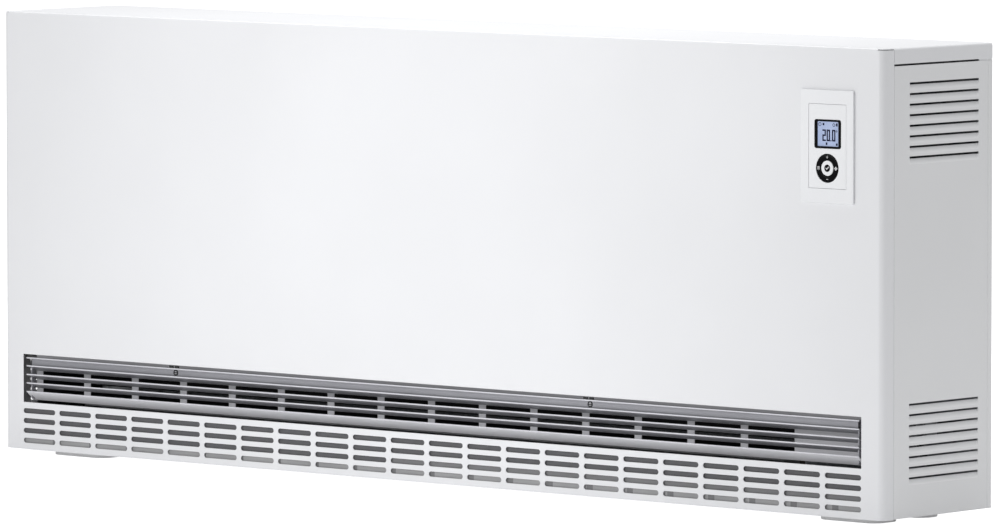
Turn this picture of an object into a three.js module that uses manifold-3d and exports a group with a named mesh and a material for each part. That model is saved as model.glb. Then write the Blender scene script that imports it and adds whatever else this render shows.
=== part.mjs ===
// Fan-assisted electric storage heater, 1655 mm wide, as separate pieces.
//
// Millimetres, +Z up. The origin is on the floor, in the middle of the heater's box.
// X runs along the width, the front faces -Y, and the wall side faces +Y.
// Inside the "casing" group, y is the distance behind the front panel's face and
// z is the height above the front panel's lower edge.

import * as THREE from 'three';
import { mergeGeometries, mergeVertices } from 'three/addons/utils/BufferGeometryUtils.js';
import Module from 'manifold-3d';

// ---------------------------------------------------------------- driving dimensions

const WIDTH = 1655;
const PANEL_HEIGHT = 640.3;
const DEPTH = 236.3;
const FOOT_HEIGHT = 7;
const PLATE_PROUD = 3;
const SHEET = 1.2;
const GAP = 0.6;

const CORNER_RADIUS = 12;
const SEAM_DEPTH = 21.5;
const HALF = WIDTH / 2;
const FRONT_Y = (PLATE_PROUD - DEPTH) / 2;

// Air outlet opening and the intake slots below it.
const OUTLET = { halfWidth: 788.6, bottom: 69.2, top: 139.8 };
const SLOT = { columns: 22, rows: 4, length: 63.8, height: 7.3, pitchX: 72.06, pitchZ: 14.5, top: 60.3 };

// Louvres pressed into each side panel, in an upper and a lower field of eight.
const LOUVRE = { front: 55, rear: 206, pitch: 14.35, window: 10.8, inset: 2.9, perField: 8 };
const LOUVRE_TOPS = [593, 156.2];
const SIDE_BOTTOM = 0.8;
const SIDE_TOP = 616.2;
const SKIRT_BOTTOM = 618.8;

const TRAY = { half: 805, front: 3, bottom: 2.2, rearLip: 14 };
const FOOT = { lefts: [-753, 693], width: 107, pads: [[18, 75], [118, 165]], corner: 20 };

// Heat store: the brick stack and the insulation around it.
const REAR_PANEL_Y = 206;
const REAR_HALF = HALF - 4.6;
const BULKHEAD_X = 656;
const CORE = { left: -758, bricks: 8, brick: 172, bottom: 191, course: 120, courses: 3, thick: 58 };
const CORE_RIGHT = CORE.left + CORE.bricks * CORE.brick;
const CORE_TOP = CORE.bottom + CORE.courses * CORE.course;
const FRONT_BRICK_Y = 48;
const REAR_BRICK_Y = 116;
const LINING = { left: -803, right: 652, front: 23, frontBack: 47, rearFront: 176, top: 600 };
const SHELF = { front: 25, bottom: 160, thick: 1.5 };
const FRONT_COVER = { face: 20.6, bottom: 145, top: 608 };
const ELEMENT_Y = 111;
const ELEMENT = { radius: 4, span: 60, left: -735, right: 676 };
const SENSOR = { radius: 2.5, left: 500, right: 690 };
const SCREW_HEIGHTS = { lower: 60, upper: 560 };

// Hot air duct with its slotted face, behind the outlet grille.
const DUCT = { face: 38, rear: 150, left: -797.5, right: 797.5, roofRight: 650, bottom: 74.5, top: 137 };
const DUCT_SLOT = { columns: 15, left: -785.5, width: 83.3, height: 7.6, pitchX: 95.9, pitchZ: 12.5 };
const DUCT_SLOT_MIDDLE = 95.7;

// Crossflow fan under the heat store.
const FAN = { y: 120, z: 36, radius: 25, blades: 10, shaft: 4, left: -712, right: 652, wall: 29.5 };

const FAN_BLADE = { width: 7.5, thick: 1, pitch: 0.6, inset: 4.6 };
const ROTOR = { end: 12, middleGap: 45, hub: 1.5 };
const MOTOR = { radius: 26, half: 32 };
const BEARING = { radius: 8, half: 4 };

// Mixing flap below the duct.
const FLAP = { y: 66, z: 66, reach: 40, left: -690, right: 628, pin: 2.4 };

// Lint filter behind the intake slots.
const FILTER = { front: 2.4, rear: 4.4, barHalf: 1.6, bottom: 6, top: 64.5, lowRim: 2.5, highRim: 2.2 };

// Outlet grille, hinged along its lower edge, with two quarter-turn locks.
const GRILLE = { halfWidth: 783.5, front: 1.5, depth: 19, blade: 1.8, drop: 7.5, barInset: 5.5, endInset: 4 };
const BOTTOM_BLADE = { depth: 14.5, drop: 9.7 };
const BLADE_TOPS = [135.1, 123.4, 110.7, 98.2, 85.6];
const LOCK = { xs: [-489.9, 298.1], z: 128.3, radius: 4.4, headDepth: 5 };

// Control unit at the right of the front panel.
const CONTROL = { x: 729.9, z: 504.8, width: 92, height: 154 };
const FACE = { x: 730.6, z: 505.2, width: 65.2, height: 114.5 };
const DISPLAY = { x: 731.1, z: 522, width: 45.9, height: 38.8, windowWidth: 37, windowHeight: 33.9 };
const RING = { x: 730.4, z: 475.5, outer: 19.3, inner: 10.9, carrier: 15, front: 0.2 - PLATE_PROUD };
const POD = { bodyMargin: 9, hollowMargin: 13, depth: 16 };
const LCD = { halfWidth: 20, halfHeight: 18, front: 0.8, rear: 2.8, paneFront: -1.7 };
const BOARD = { halfWidth: 36, halfHeight: 66, front: 8, thick: 1.6 };

// Parts in the electrical space.
const BULKHEAD_GAP = { front: 30, rear: 60, top: 63 };
const TERMINAL = { left: 690, right: 780, front: 150, rear: 176, bottom: 96, top: 122 };
const POCKET = { count: 6, left: 695, pitch: 14, width: 10, rear: 160, bottom: 102 };
const CONTROLLER = { left: 684, right: 796, front: 128, rear: 186, bottom: 210, top: 330 };
const GROOVE = { count: 7, left: 690, pitch: 15, width: 6, depth: 4 };
const LIMITER = { y: 80, z: 585, radius: 13, knobRadius: 4, left: 662, right: 680, knobEnd: 690 };

// The wiring loom's run, as points of (depth, height).
const LOOM = { x: 735, radius: 3, run: [[140, 334], [120, 380], [70, 440], [30, 470], [13, 475]] };

// Mains cable and its entry in the rear panel.
const MAINS = { x: 760, z: 60, hole: 11.5, cable: 5 };
const MAINS_RUN = [[163, 92], [168, 78], [180, 64], [200, 60], [222, 60]];

// ---------------------------------------------------------------- geometry helpers

const wasm = await Module();
wasm.setup();

function toSolid(geometry) {
  const bare = geometry.clone();
  bare.deleteAttribute('normal');
  bare.deleteAttribute('uv');
  const merged = mergeVertices(bare, 1e-4);
  const vertProperties = new Float32Array(merged.attributes.position.array);
  const triVerts = new Uint32Array(merged.index.array);
  return new wasm.Manifold(new wasm.Mesh({ numProp: 3, vertProperties, triVerts }));
}

function toGeometry(solid) {
  const mesh = solid.getMesh();
  const geometry = new THREE.BufferGeometry();
  geometry.setAttribute('position', new THREE.BufferAttribute(new Float32Array(mesh.vertProperties), 3));
  geometry.setIndex(new THREE.BufferAttribute(new Uint32Array(mesh.triVerts), 1));
  geometry.computeVertexNormals();
  return geometry;
}

function join(...geometries) {
  const solid = geometries.slice(1).reduce((sum, next) => sum.add(toSolid(next)), toSolid(geometries[0]));
  return toGeometry(solid);
}

// Takes every cutter away from a geometry; the cutters don't touch each other.
function cut(geometry, ...cutters) {
  const plain = cutters.map((cutter) => (cutter.index ? cutter.toNonIndexed() : cutter.clone()));
  plain.forEach((cutter) => cutter.deleteAttribute('uv'));
  plain.forEach((cutter) => cutter.deleteAttribute('normal'));
  return toGeometry(toSolid(geometry).subtract(toSolid(mergeGeometries(plain))));
}

function box(x0, x1, y0, y1, z0, z1) {
  const geometry = new THREE.BoxGeometry(Math.abs(x1 - x0), y1 - y0, z1 - z0);
  return geometry.translate((x0 + x1) / 2, (y0 + y1) / 2, (z0 + z1) / 2);
}

function extrude(shape, length) {
  return new THREE.ExtrudeGeometry(shape, { depth: length, bevelEnabled: false });
}

// Extrusions of a plan (x, y), a front view (x, z) and a side view (y, z).
function alongZ(shape, z0, z1) {
  return extrude(shape, z1 - z0).translate(0, 0, z0);
}

function alongY(shape, y0, y1) {
  return extrude(shape, y1 - y0).rotateX(Math.PI / 2).translate(0, y1, 0);
}

function alongX(shape, x0, x1) {
  const turn = new THREE.Matrix4();
  turn.makeBasis(new THREE.Vector3(0, 1, 0), new THREE.Vector3(0, 0, 1), new THREE.Vector3(1, 0, 0));
  return extrude(shape, x1 - x0).applyMatrix4(turn).translate(x0, 0, 0);
}

function polygon(points) {
  return new THREE.Shape(points.map(([a, b]) => new THREE.Vector2(a, b)));
}

// Points along an arc, angles in quarter turns, both ends included.
function arc(a, b, radius, fromQuarter, toQuarter, steps) {
  const points = [];
  for (let i = 0; i <= steps; i += 1) {
    const angle = (fromQuarter + ((toQuarter - fromQuarter) * i) / steps) * (Math.PI / 2);
    points.push([a + radius * Math.cos(angle), b + radius * Math.sin(angle)]);
  }
  return points;
}

function disc(a, b, radius, sides, holeRadius = 0) {
  const shape = polygon(arc(a, b, radius, 0, 4, sides).slice(0, -1));
  if (holeRadius > 0) {
    const hole = arc(a, b, holeRadius, 4, 0, sides).slice(0, -1);
    shape.holes.push(new THREE.Path(hole.map(([x, y]) => new THREE.Vector2(x, y))));
  }
  return shape;
}

function roundedRectangle(a, b, width, height, radius, steps = 2) {
  const [left, right] = [a - width / 2 + radius, a + width / 2 - radius];
  const [bottom, top] = [b - height / 2 + radius, b + height / 2 - radius];
  return polygon([
    ...arc(right, top, radius, 0, 1, steps),
    ...arc(left, top, radius, 1, 2, steps),
    ...arc(left, bottom, radius, 2, 3, steps),
    ...arc(right, bottom, radius, 3, 4, steps),
  ]);
}

// ---------------------------------------------------------------- finishes

const FINISHES = {
  whitePaint: { color: 0xeef0f4, roughness: 0.35, metalness: 0 },
  sidePaint: { color: 0xe4e5e8, roughness: 0.45, metalness: 0 },
  whitePlastic: { color: 0xe9ebf0, roughness: 0.4, metalness: 0 },
  blackPlastic: { color: 0x101114, roughness: 0.15, metalness: 0 },
  lcd: { color: 0xb4c3e0, roughness: 0.1, metalness: 0 },
  aluminium: { color: 0x9b9ba1, roughness: 0.35, metalness: 1 },
  steel: { color: 0x8e9195, roughness: 0.45, metalness: 1 },
  brass: { color: 0xb59a55, roughness: 0.35, metalness: 1 },
  darkSheet: { color: 0x55575a, roughness: 0.6, metalness: 0.6 },
  greyPlastic: { color: 0xc3c4c6, roughness: 0.6, metalness: 0 },
  brick: { color: 0x4a3d38, roughness: 0.95, metalness: 0 },
  insulation: { color: 0xd9d3c6, roughness: 1, metalness: 0 },
  rubber: { color: 0x1b1b1c, roughness: 0.8, metalness: 0 },
  board: { color: 0x1f5a36, roughness: 0.5, metalness: 0 },
};

const heater = new THREE.Group();
const casing = new THREE.Group();
casing.position.set(0, FRONT_Y, FOOT_HEIGHT);
heater.add(casing);

function piece(name, geometry, finish) {
  const mesh = new THREE.Mesh(geometry, new THREE.MeshStandardMaterial(FINISHES[finish]));
  mesh.name = name;
  casing.add(mesh);
  return mesh;
}

// ---------------------------------------------------------------- casing

// Plan of the front panel: straight front with two rounded corners, closed at the back.
function frontPlan(inset, rear) {
  const radius = CORNER_RADIUS - inset;
  const cornerX = HALF - CORNER_RADIUS;
  return polygon([
    [cornerX + radius, rear],
    ...arc(cornerX, CORNER_RADIUS, radius, 0, -1, 5),
    ...arc(-cornerX, CORNER_RADIUS, radius, -1, -2, 5),
    [-cornerX - radius, rear],
  ]);
}

function intakeSlot(column, row) {
  const radius = SLOT.height / 2;
  const left = -OUTLET.halfWidth + column * SLOT.pitchX + radius;
  const right = left + SLOT.length - SLOT.height;
  const z = SLOT.top - radius - row * SLOT.pitchZ;
  return alongY(polygon([...arc(right, z, radius, -1, 1, 3), ...arc(left, z, radius, 1, 3, 3)]), -1, 3);
}

function frontPanel() {
  const block = alongZ(frontPlan(0, SEAM_DEPTH), 0, PANEL_HEIGHT);
  const hollow = alongZ(frontPlan(SHEET, SEAM_DEPTH + 5), SHEET, PANEL_HEIGHT - SHEET);
  const openings = [];
  for (let row = 0; row < SLOT.rows; row += 1) {
    for (let column = 0; column < SLOT.columns; column += 1) {
      openings.push(intakeSlot(column, row));
    }
  }
  openings.push(box(-OUTLET.halfWidth, OUTLET.halfWidth, -1, 3, OUTLET.bottom, OUTLET.top));
  const window = roundedRectangle(CONTROL.x, CONTROL.z, CONTROL.width - 8, CONTROL.height - 8, 1.5);
  openings.push(alongY(window, -1, 3));
  return cut(cut(block, hollow), ...openings);
}

function topCover() {
  const top = PANEL_HEIGHT + 0.2;
  const front = SEAM_DEPTH + GAP;
  const radius = 4;
  function section(inset, bottom) {
    const edge = HALF - radius;
    return polygon([
      [HALF - inset, bottom],
      ...arc(edge, top - radius, radius - inset, 0, 1, 3),
      ...arc(-edge, top - radius, radius - inset, 1, 2, 3),
      [inset - HALF, bottom],
    ]);
  }
  const shell = alongY(section(0, SKIRT_BOTTOM), front, DEPTH);
  return cut(shell, alongY(section(SHEET, SKIRT_BOTTOM - 2), front - 2, DEPTH - SHEET));
}

// Side 1 is the right panel and side -1 is the left one.
function sidePanel(side) {
  const outer = side * HALF;
  const inner = side * (HALF - SHEET);
  const flange = side * (HALF - 16);
  const front = SEAM_DEPTH + GAP;
  const wall = box(inner, outer, front, DEPTH, SIDE_BOTTOM, SIDE_TOP);
  const frontFlange = box(flange, outer, front, front + SHEET, SIDE_BOTTOM, SIDE_TOP);
  const rearFlange = box(flange, outer, DEPTH - SHEET, DEPTH, SIDE_BOTTOM, SIDE_TOP);
  const windows = [];
  const tabs = [];
  LOUVRE_TOPS.forEach((fieldTop) => {
    for (let i = 0; i < LOUVRE.perField; i += 1) {
      const top = fieldTop - i * LOUVRE.pitch;
      const bottom = top - LOUVRE.window;
      windows.push(box(side * (HALF - 3), side * (HALF + 3), LOUVRE.front, LOUVRE.rear, bottom, top));
      const slope = polygon([
        [outer, bottom - 0.5],
        [outer, bottom],
        [side * (HALF - LOUVRE.inset), top - 2],
        [side * (HALF - LOUVRE.inset - SHEET), top - 2],
        [inner, bottom - 0.5],
      ]);
      tabs.push(alongY(slope, LOUVRE.front, LOUVRE.rear));
    }
  });
  const screwHoles = [60, 560].map((z) => alongY(disc(side * (HALF - 9), z, 2.2, 8), front - 2, front + 3));
  return cut(join(cut(wall, ...windows), ...tabs, frontFlange, rearFlange), ...screwHoles);
}

function panelScrew(side, z) {
  const x = side * (HALF - 9);
  const flangeFront = SEAM_DEPTH + GAP;
  const head = alongY(disc(x, z, 4, 8), flangeFront - 2.6, flangeFront - 0.3);
  const shank = alongY(disc(x, z, 1.8, 8), flangeFront - 1, flangeFront + 10);
  return join(head, shank);
}

// One foot: a front and a rear pad on the floor, held by a bar under the base tray.
function foot(left) {
  const right = left + FOOT.width;
  const middle = (left + right) / 2;
  const pads = FOOT.pads.map(([front, rear]) => {
    const plan = roundedRectangle(middle, (front + rear) / 2, FOOT.width, rear - front, FOOT.corner, 4);
    return alongZ(plan, -FOOT_HEIGHT, -0.4);
  });
  const bar = box(left + FOOT.corner, right - FOOT.corner, FOOT.pads[0][0] + 6, FOOT.pads[1][1] - 5, -2, 1.6);
  return join(bar, ...pads);
}

function rearPanel() {
  const plate = box(-REAR_HALF, REAR_HALF, REAR_PANEL_Y, REAR_PANEL_Y + SHEET, 4, PANEL_HEIGHT - 2);
  return cut(plate, alongY(disc(MAINS.x, MAINS.z, MAINS.hole, 12), REAR_PANEL_Y - 2, REAR_PANEL_Y + 4));
}

function baseTray() {
  const { half, front, bottom, rearLip } = TRAY;
  const rear = REAR_PANEL_Y - 2;
  const floorPlate = box(-half, half, front, rear, bottom, bottom + SHEET);
  const rearEdge = box(-half, half, rear - SHEET, rear, bottom, rearLip);
  return join(floorPlate, rearEdge);
}

piece('front_panel', frontPanel(), 'whitePaint');
piece('top_cover', topCover(), 'whitePaint');
piece('left_side_panel', sidePanel(-1), 'sidePaint');
piece('right_side_panel', sidePanel(1), 'sidePaint');
piece('rear_panel', rearPanel(), 'steel');
piece('base_tray', baseTray(), 'steel');
piece('left_foot', foot(FOOT.lefts[0]), 'greyPlastic');
piece('right_foot', foot(FOOT.lefts[1]), 'greyPlastic');
piece('left_lower_panel_screw', panelScrew(-1, SCREW_HEIGHTS.lower), 'steel');
piece('left_upper_panel_screw', panelScrew(-1, SCREW_HEIGHTS.upper), 'steel');
piece('right_lower_panel_screw', panelScrew(1, SCREW_HEIGHTS.lower), 'steel');
piece('right_upper_panel_screw', panelScrew(1, SCREW_HEIGHTS.upper), 'steel');

// ---------------------------------------------------------------- heat store

// Heights of the three element hairpins: one in the middle of each brick course.
const elementHeights = [0, 1, 2].map((course) => CORE.bottom + (course + 0.5) * CORE.course);
const SENSOR_Z = CORE.bottom + CORE.course;

// Holes through which the element legs and the core sensor reach the wiring space.
function elementHoles(x0, x1) {
  const legs = elementHeights.flatMap((z) => [z - ELEMENT.span / 2, z + ELEMENT.span / 2]);
  return [...legs, SENSOR_Z].map((z) => alongX(disc(ELEMENT_Y, z, ELEMENT.radius + 1, 8), x0, x1));
}

function heatingElement(z) {
  const bend = ELEMENT.span / 2;
  const corner = ELEMENT.left + bend;
  const run = [[ELEMENT.right, z - bend], ...arc(corner, z, bend, -1, -3, 8), [ELEMENT.right, z + bend]];
  return tube(run.map(([x, height]) => new THREE.Vector3(x, ELEMENT_Y, height)), ELEMENT.radius, 8);
}

// Closed round bar through a list of points that lie in one upright plane of constant y,
// or through any gentle run of points; each joint is mitred.
function tube(points, radius, sides) {
  const count = points.length;
  const rings = [];
  let normal = new THREE.Vector3(0, 1, 0);
  for (let i = 0; i < count; i += 1) {
    const before = points[Math.max(i - 1, 0)];
    const after = points[Math.min(i + 1, count - 1)];
    const along = after.clone().sub(before).normalize();
    normal = normal.clone().addScaledVector(along, -normal.dot(along)).normalize();
    const across = along.clone().cross(normal);
    const ring = [];
    for (let k = 0; k < sides; k += 1) {
      const angle = (2 * Math.PI * k) / sides;
      const offset = normal.clone().multiplyScalar(radius * Math.cos(angle));
      offset.addScaledVector(across, radius * Math.sin(angle));
      ring.push(points[i].clone().add(offset));
    }
    rings.push(ring);
  }
  const positions = rings.flat().flatMap((point) => point.toArray());
  const indices = [];
  for (let i = 0; i + 1 < count; i += 1) {
    for (let k = 0; k < sides; k += 1) {
      const [a, b] = [i * sides + k, i * sides + ((k + 1) % sides)];
      indices.push(a, b, a + sides);
      indices.push(b, b + sides, a + sides);
    }
  }
  const last = (count - 1) * sides;
  for (let k = 1; k + 1 < sides; k += 1) {
    indices.push(0, k + 1, k);
    indices.push(last, last + k, last + k + 1);
  }
  const geometry = new THREE.BufferGeometry();
  geometry.setAttribute('position', new THREE.Float32BufferAttribute(positions, 3));
  geometry.setIndex(indices);
  geometry.computeVertexNormals();
  return geometry;
}

// One course of eight bricks: joint grooves outside, air channels on the element side.
function brickCourse(faceY, backY, course) {
  const joint = 1.5;
  const channel = 24;
  const inward = Math.sign(backY - faceY);
  const outline = [[CORE.left, faceY]];
  for (let i = 1; i < CORE.bricks; i += 1) {
    const x = CORE.left + i * CORE.brick;
    outline.push([x - joint, faceY]);
    outline.push([x, faceY + inward * 3]);
    outline.push([x + joint, faceY]);
  }
  outline.push([CORE_RIGHT, faceY]);
  outline.push([CORE_RIGHT, backY]);
  for (let i = CORE.bricks - 1; i >= 0; i -= 1) {
    const x = CORE.left + (i + 0.5) * CORE.brick;
    outline.push([x + channel, backY]);
    outline.push([x + channel, backY - inward * 14]);
    outline.push([x - channel, backY - inward * 14]);
    outline.push([x - channel, backY]);
  }
  outline.push([CORE.left, backY]);
  const bottom = CORE.bottom + course * CORE.course;
  return alongZ(polygon(outline), bottom, bottom + CORE.course - 0.5);
}

function rightInsulation() {
  const rear = REAR_PANEL_Y - 1;
  const board = box(CORE_RIGHT + 2, BULKHEAD_X - 3, LINING.front, rear, CORE.bottom, CORE_TOP);
  return cut(board, ...elementHoles(CORE_RIGHT - 2, BULKHEAD_X));
}

const storeLeft = CORE.left - 2;
const storeRight = CORE_RIGHT + 1;

// Board or sheet across the whole width of the store, between two depths and two heights.
function acrossStore(front, rear, bottom, top) {
  return box(LINING.left, LINING.right, front, rear, bottom, top);
}

const shelfRear = REAR_PANEL_Y - 2;
const shelfTop = SHELF.bottom + SHELF.thick;
piece('core_shelf', acrossStore(SHELF.front, shelfRear, SHELF.bottom, shelfTop), 'steel');
const baseBoard = acrossStore(SHELF.front, shelfRear, shelfTop + 0.5, CORE.bottom - 0.6);
piece('base_insulation', baseBoard, 'insulation');
['lower', 'middle', 'upper'].forEach((level, course) => {
  const frontBack = FRONT_BRICK_Y + CORE.thick;
  const rearFace = REAR_BRICK_Y + CORE.thick;
  piece(`front_${level}_brick_course`, brickCourse(FRONT_BRICK_Y, frontBack, course), 'brick');
  piece(`rear_${level}_brick_course`, brickCourse(rearFace, REAR_BRICK_Y, course), 'brick');
  piece(`${level}_heating_element`, heatingElement(elementHeights[course]), 'steel');
});
const liningRear = REAR_PANEL_Y - 1;

// Upright insulation board as high as the brick stack.
function uprightBoard(left, right, front, rear) {
  return box(left, right, front, rear, CORE.bottom, CORE_TOP);
}

const frontBoard = uprightBoard(storeLeft, storeRight, LINING.front, LINING.frontBack);
const rearBoard = uprightBoard(storeLeft, storeRight, LINING.rearFront, liningRear);
const leftBoard = uprightBoard(LINING.left, storeLeft - 1, LINING.front, liningRear);
const topBoard = acrossStore(LINING.front, liningRear, CORE_TOP + 0.6, LINING.top);
const coverRear = FRONT_COVER.face + SHEET;
const cover = acrossStore(FRONT_COVER.face, coverRear, FRONT_COVER.bottom, FRONT_COVER.top);
piece('front_insulation', frontBoard, 'insulation');
piece('rear_insulation', rearBoard, 'insulation');
piece('left_insulation', leftBoard, 'insulation');
piece('right_insulation', rightInsulation(), 'insulation');
piece('top_insulation', topBoard, 'insulation');
piece('inner_front_cover', cover, 'steel');

// ---------------------------------------------------------------- air path

function outletDuct() {
  const face = box(DUCT.left, DUCT.right, DUCT.face, DUCT.face + SHEET, DUCT.bottom, DUCT.top);
  const roof = box(DUCT.left, DUCT.roofRight, DUCT.face, DUCT.rear, DUCT.top - SHEET, DUCT.top);
  const floorPlate = box(DUCT.left, DUCT.roofRight, DUCT.face, DUCT.rear, DUCT.bottom, DUCT.bottom + SHEET);
  const slots = [];
  for (const step of [1, 0, -1]) {
    const z = DUCT_SLOT_MIDDLE + step * DUCT_SLOT.pitchZ;
    for (let column = 0; column < DUCT_SLOT.columns; column += 1) {
      const x = DUCT_SLOT.left + column * DUCT_SLOT.pitchX;
      const [low, high] = [z - DUCT_SLOT.height / 2, z + DUCT_SLOT.height / 2];
      slots.push(box(x, x + DUCT_SLOT.width, DUCT.face - 2, DUCT.face + 4, low, high));
    }
  }
  const leftWall = box(DUCT.left, DUCT.left + SHEET, DUCT.face, DUCT.rear, DUCT.bottom, DUCT.top);
  return join(cut(face, ...slots), roof, floorPlate, leftWall);
}

// Scroll sheet around the fan, open towards the intake slots, with an end plate at each end.
function fanHousing() {
  const [start, end] = [-1.7, 0.6];
  const scroll = polygon([
    ...arc(FAN.y, FAN.z, FAN.wall + SHEET, start, end, 10),
    ...arc(FAN.y, FAN.z, FAN.wall, end, start, 10),
  ]);
  const sheet = alongX(scroll, FAN.left, FAN.right);
  const plateShape = disc(FAN.y, FAN.z, FAN.wall + SHEET, 20, 8.3);
  const leftPlate = alongX(plateShape, FAN.left, FAN.left + 2);
  const rightPlate = alongX(plateShape, FAN.right - 2, FAN.right);
  return join(sheet, leftPlate, rightPlate);
}

function fanRotor(x0, x1) {
  const middle = (x0 + x1) / 2;
  const hubs = [x0, middle, x1 - ROTOR.hub].map((x) => {
    return alongX(disc(FAN.y, FAN.z, FAN.radius - 0.5, 14, FAN.shaft + 0.5), x, x + ROTOR.hub);
  });
  const blades = [];
  for (let i = 0; i < FAN.blades; i += 1) {
    const blade = new THREE.BoxGeometry(x1 - x0, FAN_BLADE.width, FAN_BLADE.thick);
    blade.rotateX(FAN_BLADE.pitch);
    blade.translate(0, FAN.radius - FAN_BLADE.inset, 0);
    blade.rotateX((2 * Math.PI * i) / FAN.blades);
    blade.translate(middle, FAN.y, FAN.z);
    blades.push(blade);
  }
  return join(...hubs, ...blades);
}

function fanBearing(x) {
  const section = disc(FAN.y, FAN.z, BEARING.radius, 12, FAN.shaft + 0.5);
  return alongX(section, x - BEARING.half, x + BEARING.half);
}

function mixingFlap() {
  const [y, z] = [FLAP.y, FLAP.z];
  const barrel = alongX(disc(y, z, FLAP.pin + 2, 12, FLAP.pin + 0.5), FLAP.left, FLAP.right);
  const top = z + FLAP.pin + 2;
  const blade = box(FLAP.left, FLAP.right, y - FLAP.reach, y - FLAP.pin - 0.8, top - 2.6, top - 1.4);
  return join(barrel, blade);
}

// Flat spiral of bimetal around the right end of the flap's pivot rod.
function bimetalCoil() {
  const steps = 30;
  const growth = 2.4;
  const points = [];
  for (const offset of [1, 0]) {
    for (let i = 0; i <= steps; i += 1) {
      const k = offset === 1 ? i : steps - i;
      const angle = (4 * Math.PI * k) / steps;
      const radius = FLAP.pin + 0.8 + offset + (growth * angle) / (2 * Math.PI);
      points.push([FLAP.y + radius * Math.cos(angle), FLAP.z + radius * Math.sin(angle)]);
    }
  }
  return alongX(polygon(points), FLAP.right + 5, FLAP.right + 13);
}

// Filter frame close behind the intake slots; its bars stand behind every second gap.
function lintFilter() {
  const { front, rear, barHalf, bottom, top } = FILTER;
  const gapWidth = SLOT.pitchX - SLOT.length;
  const bars = [];
  for (let column = 0; column <= SLOT.columns; column += 2) {
    bars.push(-OUTLET.halfWidth - gapWidth / 2 + column * SLOT.pitchX);
  }
  const windows = bars.slice(1).map((bar, i) => {
    const [left, right] = [bars[i] + barHalf, bar - barHalf];
    return box(left, right, front - 2, rear + 2, bottom + FILTER.lowRim, top - FILTER.highRim);
  });
  return cut(box(bars[0] - barHalf, bars.at(-1) + barHalf, front, rear, bottom, top), ...windows);
}

piece('outlet_duct', outletDuct(), 'aluminium');
piece('fan_housing', fanHousing(), 'steel');
piece('left_fan_rotor', fanRotor(FAN.left + ROTOR.end, -ROTOR.middleGap), 'steel');
piece('right_fan_rotor', fanRotor(ROTOR.middleGap, FAN.right - ROTOR.end), 'steel');
piece('fan_shaft', alongX(disc(FAN.y, FAN.z, FAN.shaft, 12), FAN.left - 4, FAN.right + 4), 'steel');
const motorSection = disc(FAN.y, FAN.z, MOTOR.radius, 16, FAN.shaft + 0.5);
piece('fan_motor', alongX(motorSection, -MOTOR.half, MOTOR.half), 'darkSheet');
piece('left_fan_bearing', fanBearing(FAN.left + 1), 'brass');
piece('right_fan_bearing', fanBearing(FAN.right - 1), 'brass');
piece('mixing_flap', mixingFlap(), 'steel');
piece('flap_pivot_rod', alongX(disc(FLAP.y, FLAP.z, FLAP.pin, 12), FLAP.left - 6, FLAP.right + 16), 'steel');
piece('bimetal_coil', bimetalCoil(), 'brass');
piece('lint_filter', lintFilter(), 'darkSheet');

// ---------------------------------------------------------------- outlet grille

// Each blade leans down towards the rear; a plate behind the top blade carries the locks.
function outletGrille() {
  const { halfWidth, front, depth, blade, drop, barInset, endInset } = GRILLE;
  const barRear = front + barInset + 1.5;
  const inner = halfWidth - endInset;
  const bodies = [
    { reach: barInset + 1.5, fall: 0 },
    { reach: depth, fall: drop },
    { reach: depth, fall: drop },
    { reach: depth, fall: drop },
    { reach: BOTTOM_BLADE.depth, fall: BOTTOM_BLADE.drop },
  ];
  const parts = BLADE_TOPS.map((top, i) => {
    const { reach, fall } = bodies[i];
    const section = polygon([
      [front, top - blade],
      [front + reach, top - blade - fall],
      [front + reach, top - fall],
      [front, top],
    ]);
    return alongX(section, -halfWidth, halfWidth);
  });
  const plateBottom = BLADE_TOPS[1] - blade - 1.4;
  parts.push(box(-inner, inner, front + barInset, barRear, plateBottom, BLADE_TOPS[0] - 1));
  const webBottom = BLADE_TOPS[4] - BOTTOM_BLADE.drop;
  [-inner, inner - 2].forEach((x) => {
    parts.push(box(x, x + 2, front + barInset, front + BOTTOM_BLADE.depth - 1, webBottom, BLADE_TOPS[0] - 1));
  });
  const holeRear = barRear + LOCK.headDepth;
  const lockHoles = LOCK.xs.map((x) => alongY(disc(x, LOCK.z, LOCK.radius + 0.4, 16), front + 1, holeRear));
  return cut(join(...parts), ...lockHoles);
}

// Quarter-turn fastener: slotted round head in front, tongue behind the grille's top bar.
function grilleLock(x) {
  const face = GRILLE.front + GRILLE.barInset - 0.4;
  const headRear = face + LOCK.headDepth;
  const head = alongY(disc(x, LOCK.z, LOCK.radius, 16), face, headRear);
  const tongue = box(x - 1.4, x + 1.4, headRear - 0.5, headRear + 2, LOCK.z - 2.8, LOCK.z + 2.8);
  const slot = box(x - 4, x + 4, face - 1, face + 1, LOCK.z - 0.6, LOCK.z + 0.6);
  return cut(join(head, tongue), slot);
}

piece('outlet_grille', outletGrille(), 'aluminium');
piece('left_grille_lock', grilleLock(LOCK.xs[0]), 'steel');
piece('right_grille_lock', grilleLock(LOCK.xs[1]), 'steel');

// ---------------------------------------------------------------- control unit

function controlHousing() {
  const { x, z, width, height } = CONTROL;
  const rim = alongY(roundedRectangle(x, z, width, height, 1.5), -PLATE_PROUD, -0.3);
  const { bodyMargin, hollowMargin, depth } = POD;
  const body = alongY(roundedRectangle(x, z, width - bodyMargin, height - bodyMargin, 1.5), -1, depth);
  const inside = roundedRectangle(x, z, width - hollowMargin, height - hollowMargin, 1);
  const hollow = alongY(inside, 1.5, depth + 4);
  const faceHole = roundedRectangle(FACE.x, FACE.z, FACE.width + 0.8, FACE.height + 0.8, 1);
  return cut(cut(join(rim, body), hollow), alongY(faceHole, -PLATE_PROUD - 1, 3));
}

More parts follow.
